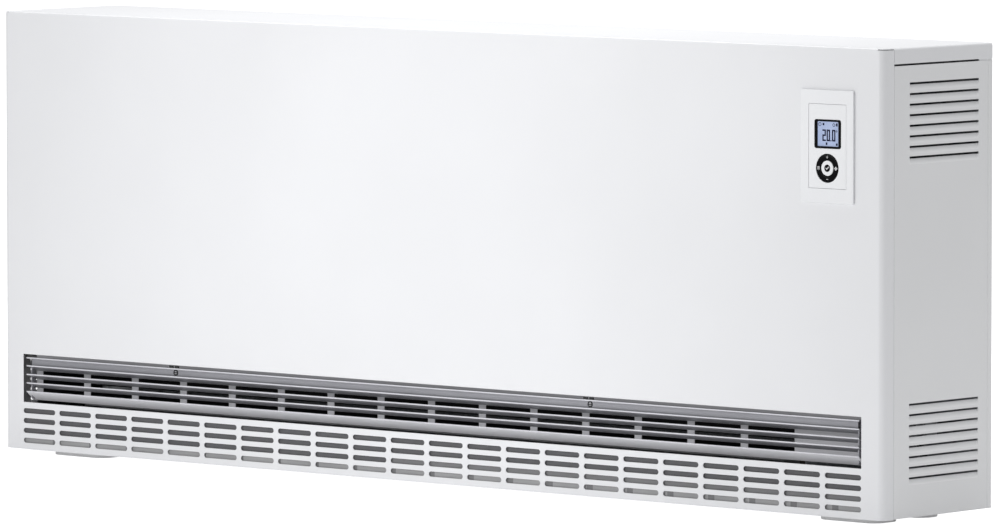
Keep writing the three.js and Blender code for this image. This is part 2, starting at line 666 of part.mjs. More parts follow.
function controlFace() {
  const plate = alongY(roundedRectangle(FACE.x, FACE.z, FACE.width, FACE.height, 0.8), -PLATE_PROUD + 0.3, 0);
  const displayHole = roundedRectangle(DISPLAY.x, DISPLAY.z, DISPLAY.width + 0.8, DISPLAY.height + 0.8, 3.4);
  const ringHole = disc(RING.x, RING.z, RING.outer + 0.5, 28);
  return cut(plate, alongY(displayHole, -5, 2), alongY(ringHole, -5, 2));
}

function displayFrame() {
  const frame = roundedRectangle(DISPLAY.x, DISPLAY.z, DISPLAY.width, DISPLAY.height, 3);
  const opening = roundedRectangle(DISPLAY.x, DISPLAY.z, DISPLAY.windowWidth, DISPLAY.windowHeight, 1);
  return cut(alongY(frame, -PLATE_PROUD + 0.1, 0.4), alongY(opening, -5, 2));
}

piece('control_housing', controlHousing(), 'whitePlastic');
piece('control_face', controlFace(), 'whitePlastic');
piece('display_frame', displayFrame(), 'blackPlastic');

// Upright plate about a point of the front, given by its half sizes.
function plateAbout({ x, z }, { halfWidth, halfHeight }, front, rear) {
  return box(x - halfWidth, x + halfWidth, front, rear, z - halfHeight, z + halfHeight);
}

const lcdSlab = plateAbout(DISPLAY, LCD, LCD.front, LCD.rear);
const { windowWidth, windowHeight } = DISPLAY;
const pane = roundedRectangle(DISPLAY.x, DISPLAY.z, windowWidth - 0.8, windowHeight - 0.8, 0.6);
piece('display_lcd', join(lcdSlab, alongY(pane, LCD.paneFront, LCD.front + 0.4)), 'lcd');
piece('control_board', plateAbout(CONTROL, BOARD, BOARD.front, BOARD.front + BOARD.thick), 'board');
const ringSection = disc(RING.x, RING.z, RING.outer, 28, RING.inner);
piece('ring_button', alongY(ringSection, RING.front, 0), 'blackPlastic');
const carrierSection = disc(RING.x, RING.z, RING.carrier, 20, RING.inner + 0.6);
piece('ring_button_carrier', alongY(carrierSection, 1, 2.2), 'greyPlastic');
const capSection = disc(RING.x, RING.z, RING.inner - 0.5, 24);
piece('ok_button', alongY(capSection, -PLATE_PROUD + 0.1, 4), 'whitePlastic');

// ---------------------------------------------------------------- electrical space

function bulkhead() {
  const plate = box(BULKHEAD_X, BULKHEAD_X + SHEET, 42, REAR_PANEL_Y - 4, 5, SIDE_TOP - 5);
  const { front, rear, top } = BULKHEAD_GAP;
  const ductGap = box(BULKHEAD_X - 5, BULKHEAD_X + 5, front, rear, -5, top);
  const shaftHole = alongX(disc(FAN.y, FAN.z, 12, 10), BULKHEAD_X - 4, BULKHEAD_X + 4);
  return cut(plate, ...elementHoles(BULKHEAD_X - 3, BULKHEAD_X + 4), ductGap, shaftHole);
}

function terminalBlock() {
  const { left, right, front, rear, bottom, top } = TERMINAL;
  const pockets = [];
  for (let i = 0; i < POCKET.count; i += 1) {
    const x = POCKET.left + i * POCKET.pitch;
    pockets.push(box(x, x + POCKET.width, front - 5, POCKET.rear, POCKET.bottom, top + 8));
  }
  return cut(box(left, right, front, rear, bottom, top), ...pockets);
}

function chargeController() {
  const { left, right, front, rear, bottom, top } = CONTROLLER;
  const grooves = [];
  for (let i = 0; i < GROOVE.count; i += 1) {
    const x = GROOVE.left + i * GROOVE.pitch;
    grooves.push(box(x, x + GROOVE.width, front - 8, front + GROOVE.depth, bottom - 5, top + 5));
  }
  return cut(box(left, right, front, rear, bottom, top), ...grooves);
}

function safetyLimiter() {
  const { y, z, left, right } = LIMITER;
  const body = alongX(disc(y, z, LIMITER.radius, 16), left, right);
  const knob = alongX(disc(y, z, LIMITER.knobRadius, 8), right - 4, LIMITER.knobEnd);
  return join(body, knob);
}

// Smooth line in the upright plane at x, through points of (depth, height).
function smoothRun(x, run) {
  const curve = new THREE.CatmullRomCurve3(run.map(([y, z]) => new THREE.Vector3(x, y, z)));
  return curve.getPoints(12);
}

const grommetRing = disc(MAINS.x, MAINS.z, MAINS.hole - 0.5, 12, MAINS.cable + 0.5);
const grommet = alongY(grommetRing, REAR_PANEL_Y - 3, REAR_PANEL_Y + 5);

piece('electrical_bulkhead', bulkhead(), 'steel');
piece('terminal_block', terminalBlock(), 'greyPlastic');
piece('charge_controller', chargeController(), 'darkSheet');
piece('safety_limiter', safetyLimiter(), 'blackPlastic');
const sensorSection = disc(ELEMENT_Y, SENSOR_Z, SENSOR.radius, 8);
piece('core_sensor', alongX(sensorSection, SENSOR.left, SENSOR.right), 'steel');
piece('wiring_loom', tube(smoothRun(LOOM.x, LOOM.run), LOOM.radius, 8), 'rubber');
piece('mains_cable', tube(smoothRun(MAINS.x, MAINS_RUN), MAINS.cable, 8), 'rubber');
piece('cable_grommet', grommet, 'rubber');

export default heater;
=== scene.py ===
"""Fan-assisted electric storage heater: the visible pieces, their finishes and a plain studio.

Shapes are worked out in casing millimetres: x runs along the width from the middle, y is the
distance behind the front panel's face, and z is the height above the front panel's lower edge.
"""

import math

import bmesh
import bpy
from mathutils import Matrix, Vector, geometry


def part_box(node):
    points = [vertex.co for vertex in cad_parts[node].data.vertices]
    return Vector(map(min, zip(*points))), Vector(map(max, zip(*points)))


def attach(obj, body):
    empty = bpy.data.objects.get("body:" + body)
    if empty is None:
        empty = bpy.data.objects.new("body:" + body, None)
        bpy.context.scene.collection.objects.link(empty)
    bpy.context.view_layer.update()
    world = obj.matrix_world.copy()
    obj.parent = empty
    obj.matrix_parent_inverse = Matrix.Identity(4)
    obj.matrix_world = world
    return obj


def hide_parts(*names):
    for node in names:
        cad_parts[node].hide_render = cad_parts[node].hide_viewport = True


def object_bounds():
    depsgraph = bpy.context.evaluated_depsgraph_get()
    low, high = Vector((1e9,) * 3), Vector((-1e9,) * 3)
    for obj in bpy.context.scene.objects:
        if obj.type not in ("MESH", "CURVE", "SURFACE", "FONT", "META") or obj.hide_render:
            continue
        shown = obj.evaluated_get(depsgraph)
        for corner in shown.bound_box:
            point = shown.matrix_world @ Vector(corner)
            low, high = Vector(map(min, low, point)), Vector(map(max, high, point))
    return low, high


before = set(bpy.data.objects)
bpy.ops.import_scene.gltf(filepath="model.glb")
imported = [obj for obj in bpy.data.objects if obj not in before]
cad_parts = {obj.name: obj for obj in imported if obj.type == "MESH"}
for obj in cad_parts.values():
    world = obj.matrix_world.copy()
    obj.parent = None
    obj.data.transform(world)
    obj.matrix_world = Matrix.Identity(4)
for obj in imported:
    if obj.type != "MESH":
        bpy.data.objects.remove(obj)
cad_low, cad_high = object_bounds()

MM = 0.001
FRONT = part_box("front_panel")[0].y
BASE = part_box("front_panel")[0].z
SHEET = 1.2
SHARP_ANGLE = math.radians(32)


def extent(node):
    """Lowest and highest corner of a CAD node, in casing millimetres."""
    origin = Vector((0, FRONT, BASE))
    low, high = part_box(node)
    return (low - origin) / MM, (high - origin) / MM


def middle_of(node):
    """Middle of a CAD node seen from the front."""
    low, high = extent(node)
    return (low.x + high.x) / 2, (low.z + high.z) / 2


# ---- flat outlines


def arc(a, b, radius, start, end, steps):
    """Points along an arc, angles in degrees, both ends included."""
    turns = [math.radians(start + (end - start) * i / steps) for i in range(steps + 1)]
    return [(a + radius * math.cos(t), b + radius * math.sin(t)) for t in turns]


def circle(a, b, radius, sides=48):
    return arc(a, b, radius, 0, 360, sides)[:-1]


def rectangle(a0, a1, b0, b1):
    return [(a0, b0), (a1, b0), (a1, b1), (a0, b1)]


def rounded(a, b, width, height, radius, steps=6):
    """Rectangle about (a, b) with round corners."""
    right, top = a + width / 2 - radius, b + height / 2 - radius
    left, bottom = 2 * a - right, 2 * b - top
    corners = [(right, top, 0), (left, top, 90), (left, bottom, 180), (right, bottom, 270)]
    return [p for ca, cb, turn in corners for p in arc(ca, cb, radius, turn, turn + 90, steps)]


def around(node, grow, radius, steps=6):
    """Rounded front outline of a CAD node, with grow added to its width and height."""
    low, high = extent(node)
    return rounded(*middle_of(node), high.x - low.x + grow, high.z - low.z + grow, radius, steps)


def softened(points, radius, steps=3):
    """A polygon whose corners are rounded; the radius shrinks where an edge is short."""
    result = []
    for i, corner in enumerate(points):
        here = Vector(corner)
        before = Vector(points[i - 1]) - here
        after = Vector(points[(i + 1) % len(points)]) - here
        reach = min(radius, before.length / 2.1, after.length / 2.1)
        start, end = here + before.normalized() * reach, here + after.normalized() * reach
        for k in range(steps + 1):
            t = k / steps
            result.append(tuple(start * (1 - t) ** 2 + here * (2 * t * (1 - t)) + end * t**2))
    return result


def area(loop):
    return sum(loop[i - 1][0] * p[1] - p[0] * loop[i - 1][1] for i, p in enumerate(loop)) / 2


def inset(loop, amount):
    """Moves a closed loop to the left of its direction of travel, with mitred corners."""
    moved = []
    for i, point in enumerate(loop):
        here = Vector(point)
        into = (here - Vector(loop[i - 1])).normalized()
        out = (Vector(loop[(i + 1) % len(loop)]) - here).normalized()
        n0, n1 = Vector((-into.y, into.x)), Vector((-out.y, out.x))
        moved.append(tuple(here + (n0 + n1) * (amount / max(1 + n0.dot(n1), 0.3))))
    return moved


def inside(point, loop):
    a, b = point
    hit = False
    for i, (a1, b1) in enumerate(loop):
        a0, b0 = loop[i - 1]
        if (b0 > b) != (b1 > b) and a < a0 + (b - b0) * (a1 - a0) / (b1 - b0):
            hit = not hit
    return hit


# ---- solids
# A solid is a pair: its points in casing millimetres and its faces.


def plane_xz(y):
    """Puts a flat pattern in the plane of the front, starting at depth y."""
    return lambda a, b, d: (a, y + d, b)


def plane_xy(z):
    return lambda a, b, d: (a, b, z + d)


def plane_yz(x):
    return lambda a, b, d: (x + d, a, b)


def sheet(outline, holes, place, thick, edge=0.3, lines=(), points=(), rounds=2):
    """Closed sheet from a flat pattern with holes; its rims are rounded with radius edge.

    place(a, b, depth) bends the pattern into its place. lines are pairs of outline points
    where the pattern bends, and points are extra points that the bent surface needs.
    """
    loops = [outline if area(outline) > 0 else outline[::-1]]
    loops += [hole if area(hole) < 0 else hole[::-1] for hole in holes]
    rims = [inset(loop, edge) for loop in loops]
    flat = [p for rim in rims for p in rim]
    starts = [sum(len(rim) for rim in rims[:i]) for i in range(len(rims))]
    edges = [
        (start + i, start + (i + 1) % len(rim))
        for start, rim in zip(starts, rims)
        for i in range(len(rim))
    ]
    order = {(round(a, 4), round(b, 4)): i for i, (a, b) in enumerate(loops[0])}
    for (a0, b0), (a1, b1) in lines:
        edges.append((order[round(a0, 4), round(b0, 4)], order[round(a1, 4), round(b1, 4)]))
    every = [Vector(p) for p in flat] + [Vector(p) for p in points]
    coords, _, triangles, origins, _, _ = geometry.delaunay_2d_cdt(every, edges, [], 0, 1e-5)

    boxes = [(min(p[0] for p in r), max(p[0] for p in r), min(p[1] for p in r), max(p[1] for p in r))
             for r in rims]
    kept = []
    for triangle in triangles:
        middle = sum((coords[i] for i in triangle), Vector((0, 0))) / 3
        near = [r for r, (a0, a1, b0, b1) in zip(rims[1:], boxes[1:])
                if a0 <= middle.x <= a1 and b0 <= middle.y <= b1]
        if inside(middle, rims[0]) and not any(inside(middle, rim) for rim in near):
            kept.append(triangle)

    count = len(coords)
    verts = [place(c.x, c.y, 0) for c in coords] + [place(c.x, c.y, thick) for c in coords]
    faces = [tuple(t) for t in kept] + [tuple(count + i for i in reversed(t)) for t in kept]
    rank = {}
    for new, old in enumerate(origins):
        for i in old:
            rank[i] = new
    for start, loop in zip(starts, loops):
        size = len(loop)
        rings = [[rank[start + i] for i in range(size)]]
        turns = [math.pi / 2 * k / rounds for k in range(1, rounds + 1)] if edge else []
        steps = [(edge * (1 - math.sin(t)), edge * (1 - math.cos(t))) for t in turns]
        steps += [(shift, thick - depth) for shift, depth in reversed(steps)]
        for shift, depth in steps:
            rings.append(list(range(len(verts), len(verts) + size)))
            verts += [place(a, b, depth) for a, b in inset(loop, shift)]
        rings.append([count + i for i in rings[0]])
        for near_ring, far_ring in zip(rings, rings[1:]):
            for i in range(size):
                j = (i + 1) % size
                faces.append((near_ring[i], far_ring[i], far_ring[j], near_ring[j]))
    return verts, faces


def box(x0, x1, y0, y1, z0, z1, edge=0.3):
    """Box whose upright edges and rims are rounded."""
    outline = softened(rectangle(x0, x1, z0, z1), edge)
    return sheet(outline, [], plane_xz(y0), y1 - y0, edge)


def turned(profile, x, z, sides=64, loop=False):
    """Profile of (radius, depth) points turned about the y line through (x, z)."""
    verts, rows = [], []
    for radius, depth in profile:
        if radius == 0:
            rows.append([len(verts)] * sides)
            verts.append((x, depth, z))
            continue
        rows.append(list(range(len(verts), len(verts) + sides)))
        verts += [(a, depth, b) for a, b in circle(x, z, radius, sides)]
    pairs = list(zip(rows, rows[1:])) + ([(rows[-1], rows[0])] if loop else [])
    faces = []
    for near_row, far_row in pairs:
        for i in range(sides):
            j = (i + 1) % sides
            corners = [near_row[i], near_row[j], far_row[j], far_row[i]]
            faces.append(tuple(dict.fromkeys(corners)))
    return verts, faces


def tube(path, radius, sides=24):
    """Round bar with closed ends along a run of points."""
    verts, faces = [], []
    points = [Vector(p) for p in path]
    across = Vector((0, 1, 0)) if abs((points[1] - points[0]).y) < 0.5 else Vector((1, 0, 0))
    for i, here in enumerate(points):
        along = (points[min(i + 1, len(points) - 1)] - points[max(i - 1, 0)]).normalized()
        across = (across - along * across.dot(along)).normalized()
        other = along.cross(across)
        for c, s in circle(0, 0, radius, sides):
            verts.append(tuple(here + across * c + other * s))
    for i in range(len(points) - 1):
        for k in range(sides):
            a, b = i * sides + k, i * sides + (k + 1) % sides
            faces.append((a, b, b + sides, a + sides))
    last = (len(points) - 1) * sides
    faces += [tuple(range(sides - 1, -1, -1)), tuple(range(last, last + sides))]
    return verts, faces


def smooth_run(points, steps=10):
    """Catmull-Rom curve through the points."""
    knots = [Vector(p) for p in points]
    knots = [knots[0] * 2 - knots[1]] + knots + [knots[-1] * 2 - knots[-2]]
    run = []
    for p0, p1, p2, p3 in zip(knots, knots[1:], knots[2:], knots[3:]):
        for k in range(steps):
            t = k / steps
            run.append((p1 * 2 + (p2 - p0) * t + (p0 * 2 - p1 * 5 + p2 * 4 - p3) * t**2
                        + (p1 * 3 - p0 - p2 * 3 + p3) * t**3) / 2)
    return run + [knots[-2]]


def placed(name, data):
    """A new object, linked into the scene."""
    obj = bpy.data.objects.new(name, data)
    bpy.context.scene.collection.objects.link(obj)
    return obj


class Track:
    """Outer line of a bent sheet in one plane; depth goes in to the left of its direction."""

    def __init__(self, points):
        self.points = [Vector(p) for p in points]
        self.stops = [0.0]
        for before, after in zip(self.points, self.points[1:]):
            self.stops.append(self.stops[-1] + (after - before).length)
        self.length = self.stops[-1]

    def _left(self, i):
        along = (self.points[i + 1] - self.points[i]).normalized()
        return Vector((-along.y, along.x))

    def at(self, s, depth):
        i = max(k for k, stop in enumerate(self.stops[:-1]) if stop <= s + 1e-6 or k == 0)
        left = self._left(i)
        if i > 0 and abs(s - self.stops[i]) < 1e-4:
            before = self._left(i - 1)
            left = (before + left) / (1 + before.dot(left))
        span = self.stops[i + 1] - self.stops[i]
        return self.points[i].lerp(self.points[i + 1], (s - self.stops[i]) / span) + left * depth

    def strip(self, low, high):
        """Pattern outline of the whole track between two heights, and its bend lines."""
        outline = [(s, low) for s in self.stops] + [(s, high) for s in reversed(self.stops)]
        lines = [((s, low), (s, high)) for s in self.stops[1:-1]]
        return outline, lines


# ---- pieces


def piece(name, parts, node, body="root", slot=None):
    """One object from (solid, look) pairs, in a CAD node's place and riding on a body.

    The slot argument is not used.
    """
    mesh = bpy.data.meshes.new(name)
    work = bmesh.new()
    for index, ((verts, faces), look) in enumerate(parts):
        mesh.materials.append(LOOKS[look])
        made = [work.verts.new((x * MM, FRONT + y * MM, BASE + z * MM)) for x, y, z in verts]
        for face in faces:
            work.faces.new([made[i] for i in face]).material_index = index
    loose = [v for v in work.verts if not v.link_faces]
    bmesh.ops.delete(work, geom=loose, context="VERTS")
    bmesh.ops.recalc_face_normals(work, faces=work.faces)
    work.to_mesh(mesh)
    work.free()
    for polygon in mesh.polygons:
        polygon.use_smooth = True
    mesh.set_sharp_from_angle(angle=SHARP_ANGLE)
    obj = placed(name, mesh)
    shading = obj.modifiers.new("flat faces stay flat", "WEIGHTED_NORMAL")
    shading.keep_sharp = True
    shading.weight = 100
    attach(obj, body)
    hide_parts(node)
    slot or parts[0][1]
    return obj


def keep(node, look, edge=0.0):
    """Shows a CAD node with its own finish and, where edge is given, rounded edges."""
    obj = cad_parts[node]
    obj.data.materials.clear()
    obj.data.materials.append(LOOKS[look])
    weld = obj.modifiers.new("one skin", "WELD")
    weld.merge_threshold = 0.01 * MM
    if edge:
        bevel = obj.modifiers.new("rounded edges", "BEVEL")
        bevel.width = edge * MM
        bevel.segments = 2
        bevel.limit_method = "ANGLE"
        bevel.angle_limit = math.radians(40)
    shading = obj.modifiers.new("flat faces stay flat", "WEIGHTED_NORMAL")
    shading.weight = 100


# ---- finishes

LOOKS = {}  # materials by name


class Graph:
    """A material's node tree, with short calls for adding and joining nodes."""

    def __init__(self, name):
        self.material = LOOKS[name] = bpy.data.materials.new(name)
        self.material.use_nodes = True
        self.tree = self.material.node_tree
        self.shader = self.tree.nodes["Principled BSDF"]
        self.place = self.add("ShaderNodeTexCoord").outputs["Object"]

    def add(self, kind, links=None, **values):
        """Adds a node; values set its properties or sockets, and links join its sockets."""
        node = self.tree.nodes.new(kind)
        for key, value in values.items():
            if hasattr(node, key):
                setattr(node, key, value)
            else:
                node.inputs[key.replace("_", " ")].default_value = value
        for socket, source in (links or {}).items():
            self.tree.links.new(source, node.inputs[socket])
        return node

    def finish(self, colour, rough, normal=None, glow=0.0, **values):
        """Joins and sets the shader's sockets; glow gives off light of the same colour."""
        sources = {"Base Color": colour, "Roughness": rough, "Normal": normal}
        if glow:
            sources["Emission Color"] = colour
            values["Emission_Strength"] = glow
        for socket, source in sources.items():
            if source:
                self.tree.links.new(source, self.shader.inputs[socket])
        for key, value in values.items():
            self.shader.inputs[key.replace("_", " ")].default_value = value
        return self.material

    def stretched(self, scale):
        return self.add("ShaderNodeMapping", {"Vector": self.place}, Scale=scale).outputs["Vector"]

    def noise(self, scale, vector=None, detail=4.0, rough=0.55):
        links = {"Vector": vector or self.place}
        values = {"Scale": scale, "Detail": detail, "Roughness": rough}
        return self.add("ShaderNodeTexNoise", links, **values).outputs["Fac"]

    def cells(self, scale, vector=None, output="Color", feature="F1"):
        links = {"Vector": vector or self.place}
        node = self.add("ShaderNodeTexVoronoi", links, feature=feature, Scale=scale)
        return node.outputs[output]

    def ramp(self, source, *stops):
        """Colour ramp through (position, colour) stops."""
        node = self.add("ShaderNodeValToRGB", {"Fac": source})
        ramp = node.color_ramp
        while len(ramp.elements) < len(stops):
            ramp.elements.new(0.5)
        for element, (position, colour) in zip(ramp.elements, stops):
            element.position = position
            element.color = (*colour, 1)
        return node.outputs["Color"]

    def spread(self, source, low, high):
        values = {"To_Min": low, "To_Max": high, "From_Min": 0.3, "From_Max": 0.7}
        return self.add("ShaderNodeMapRange", {"Value": source}, **values).outputs["Result"]

    def blend(self, factor, first, second, mode="MIX"):
        node = self.add("ShaderNodeMix", data_type="RGBA", blend_type=mode)
        ports = [s for s in node.inputs if s.enabled]
        for port, source in zip(ports, (factor, first, second)):
            if isinstance(source, (int, float)):
                port.default_value = source
            elif isinstance(source, tuple):
                port.default_value = (*source, 1)
            else:
                self.tree.links.new(source, port)
        return [s for s in node.outputs if s.enabled][0]

    def bump(self, height, distance, strength=1.0, normal=None):
        """Relief from a height; distance is in millimetres."""
        links = {"Height": height}
        if normal:
            links["Normal"] = normal
        node = self.add("ShaderNodeBump", links, Strength=strength, Distance=distance * MM)
        return node.outputs["Normal"]


def grained(name, dark, light, rough, metal=0.0, grain=900, relief=0.02, stretch=(1, 1, 1),
            specular=0.5, glow=0.0):
    """A finish with fine grain, slow colour drift and uneven gloss; glow lifts deep shade."""
    g = Graph(name)
    fine = g.noise(grain, g.stretched(stretch))
    slow = g.noise(7, detail=3)
    tone, speckle = (g.ramp(source, (0.3, dark), (0.7, light)) for source in (slow, fine))
    return g.finish(g.blend(0.35, tone, speckle), g.spread(fine, rough - 0.05, rough + 0.06),
                    g.bump(fine, relief), glow, Metallic=metal, Specular_IOR_Level=specular)


def powder_coat(name, tone):
    """White powder coat: a soft orange-peel relief, finer speckle and faint drift of tone."""
    g = Graph(name)
    peel = g.noise(420, detail=2, rough=0.4)
    speckle = g.noise(2600, detail=2)
    drift = g.noise(3.5, detail=2)
    low, high = tuple(c * 0.985 for c in tone), tuple(min(c * 1.012, 1) for c in tone)
    base = g.ramp(drift, (0.35, low), (0.65, high))
    colour = g.blend(0.05, base, g.ramp(speckle, (0.4, low), (0.6, (1, 1, 1))))
    relief = g.bump(speckle, 0.002, 0.6, g.bump(peel, 0.006, 0.7))
    return g.finish(colour, g.spread(peel, 0.36, 0.44), relief, Specular_IOR_Level=0.35)


def galvanised(name, dark, light, rough):
    """Zinc-coated steel sheet with spangle of different brightness."""
    g = Graph(name)
    brightness = g.add("ShaderNodeSeparateColor", {"Color": g.cells(140)}).outputs["Red"]
    fine = g.noise(1500)
    tone = g.ramp(brightness, (0.0, dark), (1.0, light))
    colour = g.blend(0.25, tone, g.ramp(fine, (0.3, dark), (0.7, light)))
    return g.finish(colour, g.spread(brightness, rough - 0.08, rough + 0.08), g.bump(fine, 0.004),
                    Metallic=0.9)


def storage_brick():
    """Fired magnetite brick: dark, pitted, with paler fired skin in patches."""
    g = Graph("storage_brick")
    patches = g.noise(24, detail=6, rough=0.65)
    pits = g.cells(260, output="Distance")
    grit = g.noise(1400, detail=3)
    tone = g.ramp(patches, (0.3, (0.045, 0.03, 0.026)), (0.55, (0.085, 0.06, 0.05)),
                  (0.75, (0.15, 0.11, 0.09)))
    dark_pits = g.ramp(pits, (0.0, (0.02, 0.015, 0.014)), (0.5, (0.1, 0.07, 0.06)))
    relief = g.bump(grit, 0.15, 0.6, g.bump(pits, 0.4, 0.5))
    return g.finish(g.blend(0.3, tone, dark_pits), g.spread(grit, 0.82, 0.98), relief)


def insulation_board():
    """Pressed fibre board, off-white, with matted short fibres."""
    g = Graph("insulation_board")
    fibres = g.noise(260, g.stretched((1, 4, 0.35)), detail=6, rough=0.7)
    mat = g.noise(30, detail=4)
    tone = g.ramp(fibres, (0.3, (0.5, 0.45, 0.36)), (0.7, (0.74, 0.7, 0.6)))
    matted = g.ramp(mat, (0.3, (0.46, 0.41, 0.33)), (0.7, (0.78, 0.75, 0.66)))
    return g.finish(g.blend(0.3, tone, matted), g.spread(mat, 0.9, 1.0), g.bump(fibres, 0.35, 0.7))


def liquid_crystal():
    """Backlit display: lavender blue, brighter in the middle, with a fine cell grid."""
    g = Graph("display_glass")
    grid = g.add("ShaderNodeTexBrick", {"Vector": g.stretched((1, 1, 1))}, Scale=1800.0,
                 Mortar_Size=0.03, Brick_Width=0.5, Row_Height=0.5, offset=0.0)
    cells = g.ramp(grid.outputs["Fac"], (0.0, (1, 1, 1)), (1.0, (0.82, 0.86, 0.94)))
    drift = g.noise(45, detail=1)
    tone = g.ramp(drift, (0.3, (0.32, 0.39, 0.58)), (0.7, (0.38, 0.455, 0.65)))
    return g.finish(g.blend(0.5, tone, cells, "MULTIPLY"), g.spread(drift, 0.16, 0.24), glow=0.2)


def filter_mesh():
    """Grey woven gauze: threads about a millimetre apart in both directions."""
    g = Graph("filter_mesh")
    weave = g.add("ShaderNodeMath", operation="MAXIMUM")
    for port, direction in zip(weave.inputs, "XZ"):
        wave = g.add("ShaderNodeTexWave", {"Vector": g.place}, bands_direction=direction, Scale=320.0,
                     Distortion=0.4)
        g.tree.links.new(wave.outputs["Fac"], port)
    height = weave.outputs["Value"]
    colour = g.ramp(height, (0.3, (0.086, 0.086, 0.092)), (0.9, (0.142, 0.142, 0.148)))
    return g.finish(colour, g.spread(height, 0.7, 0.85), g.bump(height, 0.08))


def circuit_board():
    """Green board with copper tracks under solder mask."""
    g = Graph("circuit_board")
    tracks = g.cells(420, g.stretched((1, 1, 2)), output="Distance", feature="DISTANCE_TO_EDGE")
    weave = g.noise(2200, detail=2)
    track, mask = (0.05, 0.22, 0.09), (0.015, 0.085, 0.035)
    colour = g.ramp(tracks, (0.0, track), (0.09, track), (0.12, mask))
    relief = g.bump(tracks, 0.03, 0.5, g.bump(weave, 0.01))
    return g.finish(colour, g.spread(weave, 0.28, 0.4), relief)


powder_coat("white_paint", (0.825, 0.83, 0.848))
powder_coat("side_paint", (0.82, 0.825, 0.835))
# Lighter copy of the side paint for the pressed louvre blades: painted light where they tilt up.
powder_coat("louvre_painted_light", (0.885, 0.89, 0.9))
galvanised("sheet_steel", (0.28, 0.29, 0.31), (0.5, 0.51, 0.53), 0.42)
grained("fan_metal", (0.3, 0.3, 0.31), (0.42, 0.42, 0.43), 0.5, 0.3, 800, 0.01, (0.1, 1, 1))
# Inner walls of the outlet duct: near black, painted shade inside the duct.
grained("duct_inside_painted_shade", (0.012, 0.012, 0.014), (0.03, 0.03, 0.034), 0.7, 0.0, 700, 0.01)
# Front lips of the grille blades: a lighter copy of the grille aluminium, a painted highlight along the
# rounded edge.
grained("grille_lip_painted_highlight", (0.6, 0.6, 0.64), (0.72, 0.72, 0.76), 0.3, 0.2, 1500, 0.004, (0.03, 1, 1))
grained("lock_head", (0.01, 0.01, 0.012), (0.022, 0.022, 0.025), 0.45, 0.1, 1200, 0.01)
grained("tray_steel", (0.6, 0.6, 0.61), (0.72, 0.72, 0.73), 0.5, 0.2, 600, 0.01)
grained("steel_hardware", (0.3, 0.3, 0.32), (0.46, 0.46, 0.48), 0.32, 0.9, 1600, 0.006)
# Duct front: aluminium with a faint glow of its own, painted light that lifts its shade.
grained("duct_aluminium", (0.5, 0.5, 0.52), (0.6, 0.6, 0.63), 0.42, 0.35, 700, 0.01, (0.08, 1, 1),
        glow=0.26)
grained("grille_aluminium", (0.3, 0.3, 0.325), (0.38, 0.38, 0.41), 0.36, 0.45, 1500, 0.008, (0.03, 1, 1))
grained("foot_plastic", (0.8, 0.805, 0.81), (0.88, 0.885, 0.89), 0.5, grain=1300, relief=0.03)
grained("control_plastic", (0.83, 0.84, 0.86), (0.88, 0.885, 0.9), 0.38, grain=1800, relief=0.008)
grained("grey_plastic", (0.42, 0.43, 0.44), (0.5, 0.51, 0.52), 0.5, grain=1400)
grained("filter_plastic", (0.055, 0.055, 0.06), (0.085, 0.085, 0.09), 0.6, grain=1100, relief=0.03)
# Pale grey lower band on the filter behind the lowest slot row: painted light standing in for the lit base
# tray.
grained("lower_band_painted_light", (0.3, 0.3, 0.305), (0.4, 0.4, 0.405), 0.55)
# Mid grey on the filter: the lighter band at the right, painted light, and the darker stripes on the lower
# band, painted shadows.
grained("painted_light_and_shadow_grey", (0.17, 0.17, 0.175), (0.23, 0.23, 0.235), 0.65, grain=1200, relief=0.04)
# Lowest grille blade: a lighter, faintly glowing copy of the grille aluminium, painted light.
grained("bottom_blade_painted_light", (0.52, 0.52, 0.545), (0.6, 0.6, 0.625),
        0.4, 0.15, 1500, 0.008, (0.03, 1, 1), glow=0.2)
grained("gloss_black", (0.003, 0.003, 0.004), (0.006, 0.006, 0.007), 0.16, relief=0.001, specular=0.04)
grained("controller_case", (0.05, 0.052, 0.056), (0.09, 0.092, 0.098), 0.55, grain=1200, relief=0.03)
grained("motor_iron", (0.05, 0.05, 0.055), (0.11, 0.11, 0.115), 0.5, 0.6, 700, 0.04)
grained("bronze", (0.1, 0.085, 0.07), (0.17, 0.14, 0.11), 0.4, 0.8, 1500, 0.01)
grained("black_rubber", (0.012, 0.012, 0.013), (0.03, 0.03, 0.032), 0.7, grain=1000, relief=0.03)
grained("display_ink", (0.004, 0.007, 0.03), (0.008, 0.012, 0.045), 0.4, grain=2000, relief=0.001,
        specular=0.1)
grained("button_marks", (0.6, 0.6, 0.61), (0.7, 0.7, 0.71), 0.4, grain=2000, relief=0.001)
storage_brick()
insulation_board()
liquid_crystal()
circuit_board()
filter_mesh()

# ---- casing

PANEL_LOW, PANEL_HIGH = extent("front_panel")
HALF = PANEL_HIGH.x
PANEL_TOP = PANEL_HIGH.z
SEAM = PANEL_HIGH.y
CORNER_RADIUS = 12
CORNER_DROP = 2.0
FOLD_RADIUS = 2.0
BEND_STEPS = 6

OUTLET_HALF = 788.6
OUTLET_BOTTOM = 69.2
OUTLET_TOP = 139.8
SLOT_COLUMNS = 22
SLOT_ROWS = 4
SLOT_LENGTH = 63.8
SLOT_HEIGHT = 7.3
SLOT_PITCH_X = 72.06
SLOT_PITCH_Z = 14.5
SLOT_TOP = 60.3


def intake_slots():
    radius = SLOT_HEIGHT / 2
    slots = []
    for row in range(SLOT_ROWS):
        z = SLOT_TOP - radius - row * SLOT_PITCH_Z
        for column in range(SLOT_COLUMNS):
            left = -OUTLET_HALF + column * SLOT_PITCH_X + radius
            right = left + SLOT_LENGTH - SLOT_HEIGHT
            slots.append(arc(right, z, radius, -90, 90, 7) + arc(left, z, radius, 90, 270, 7))
    return slots


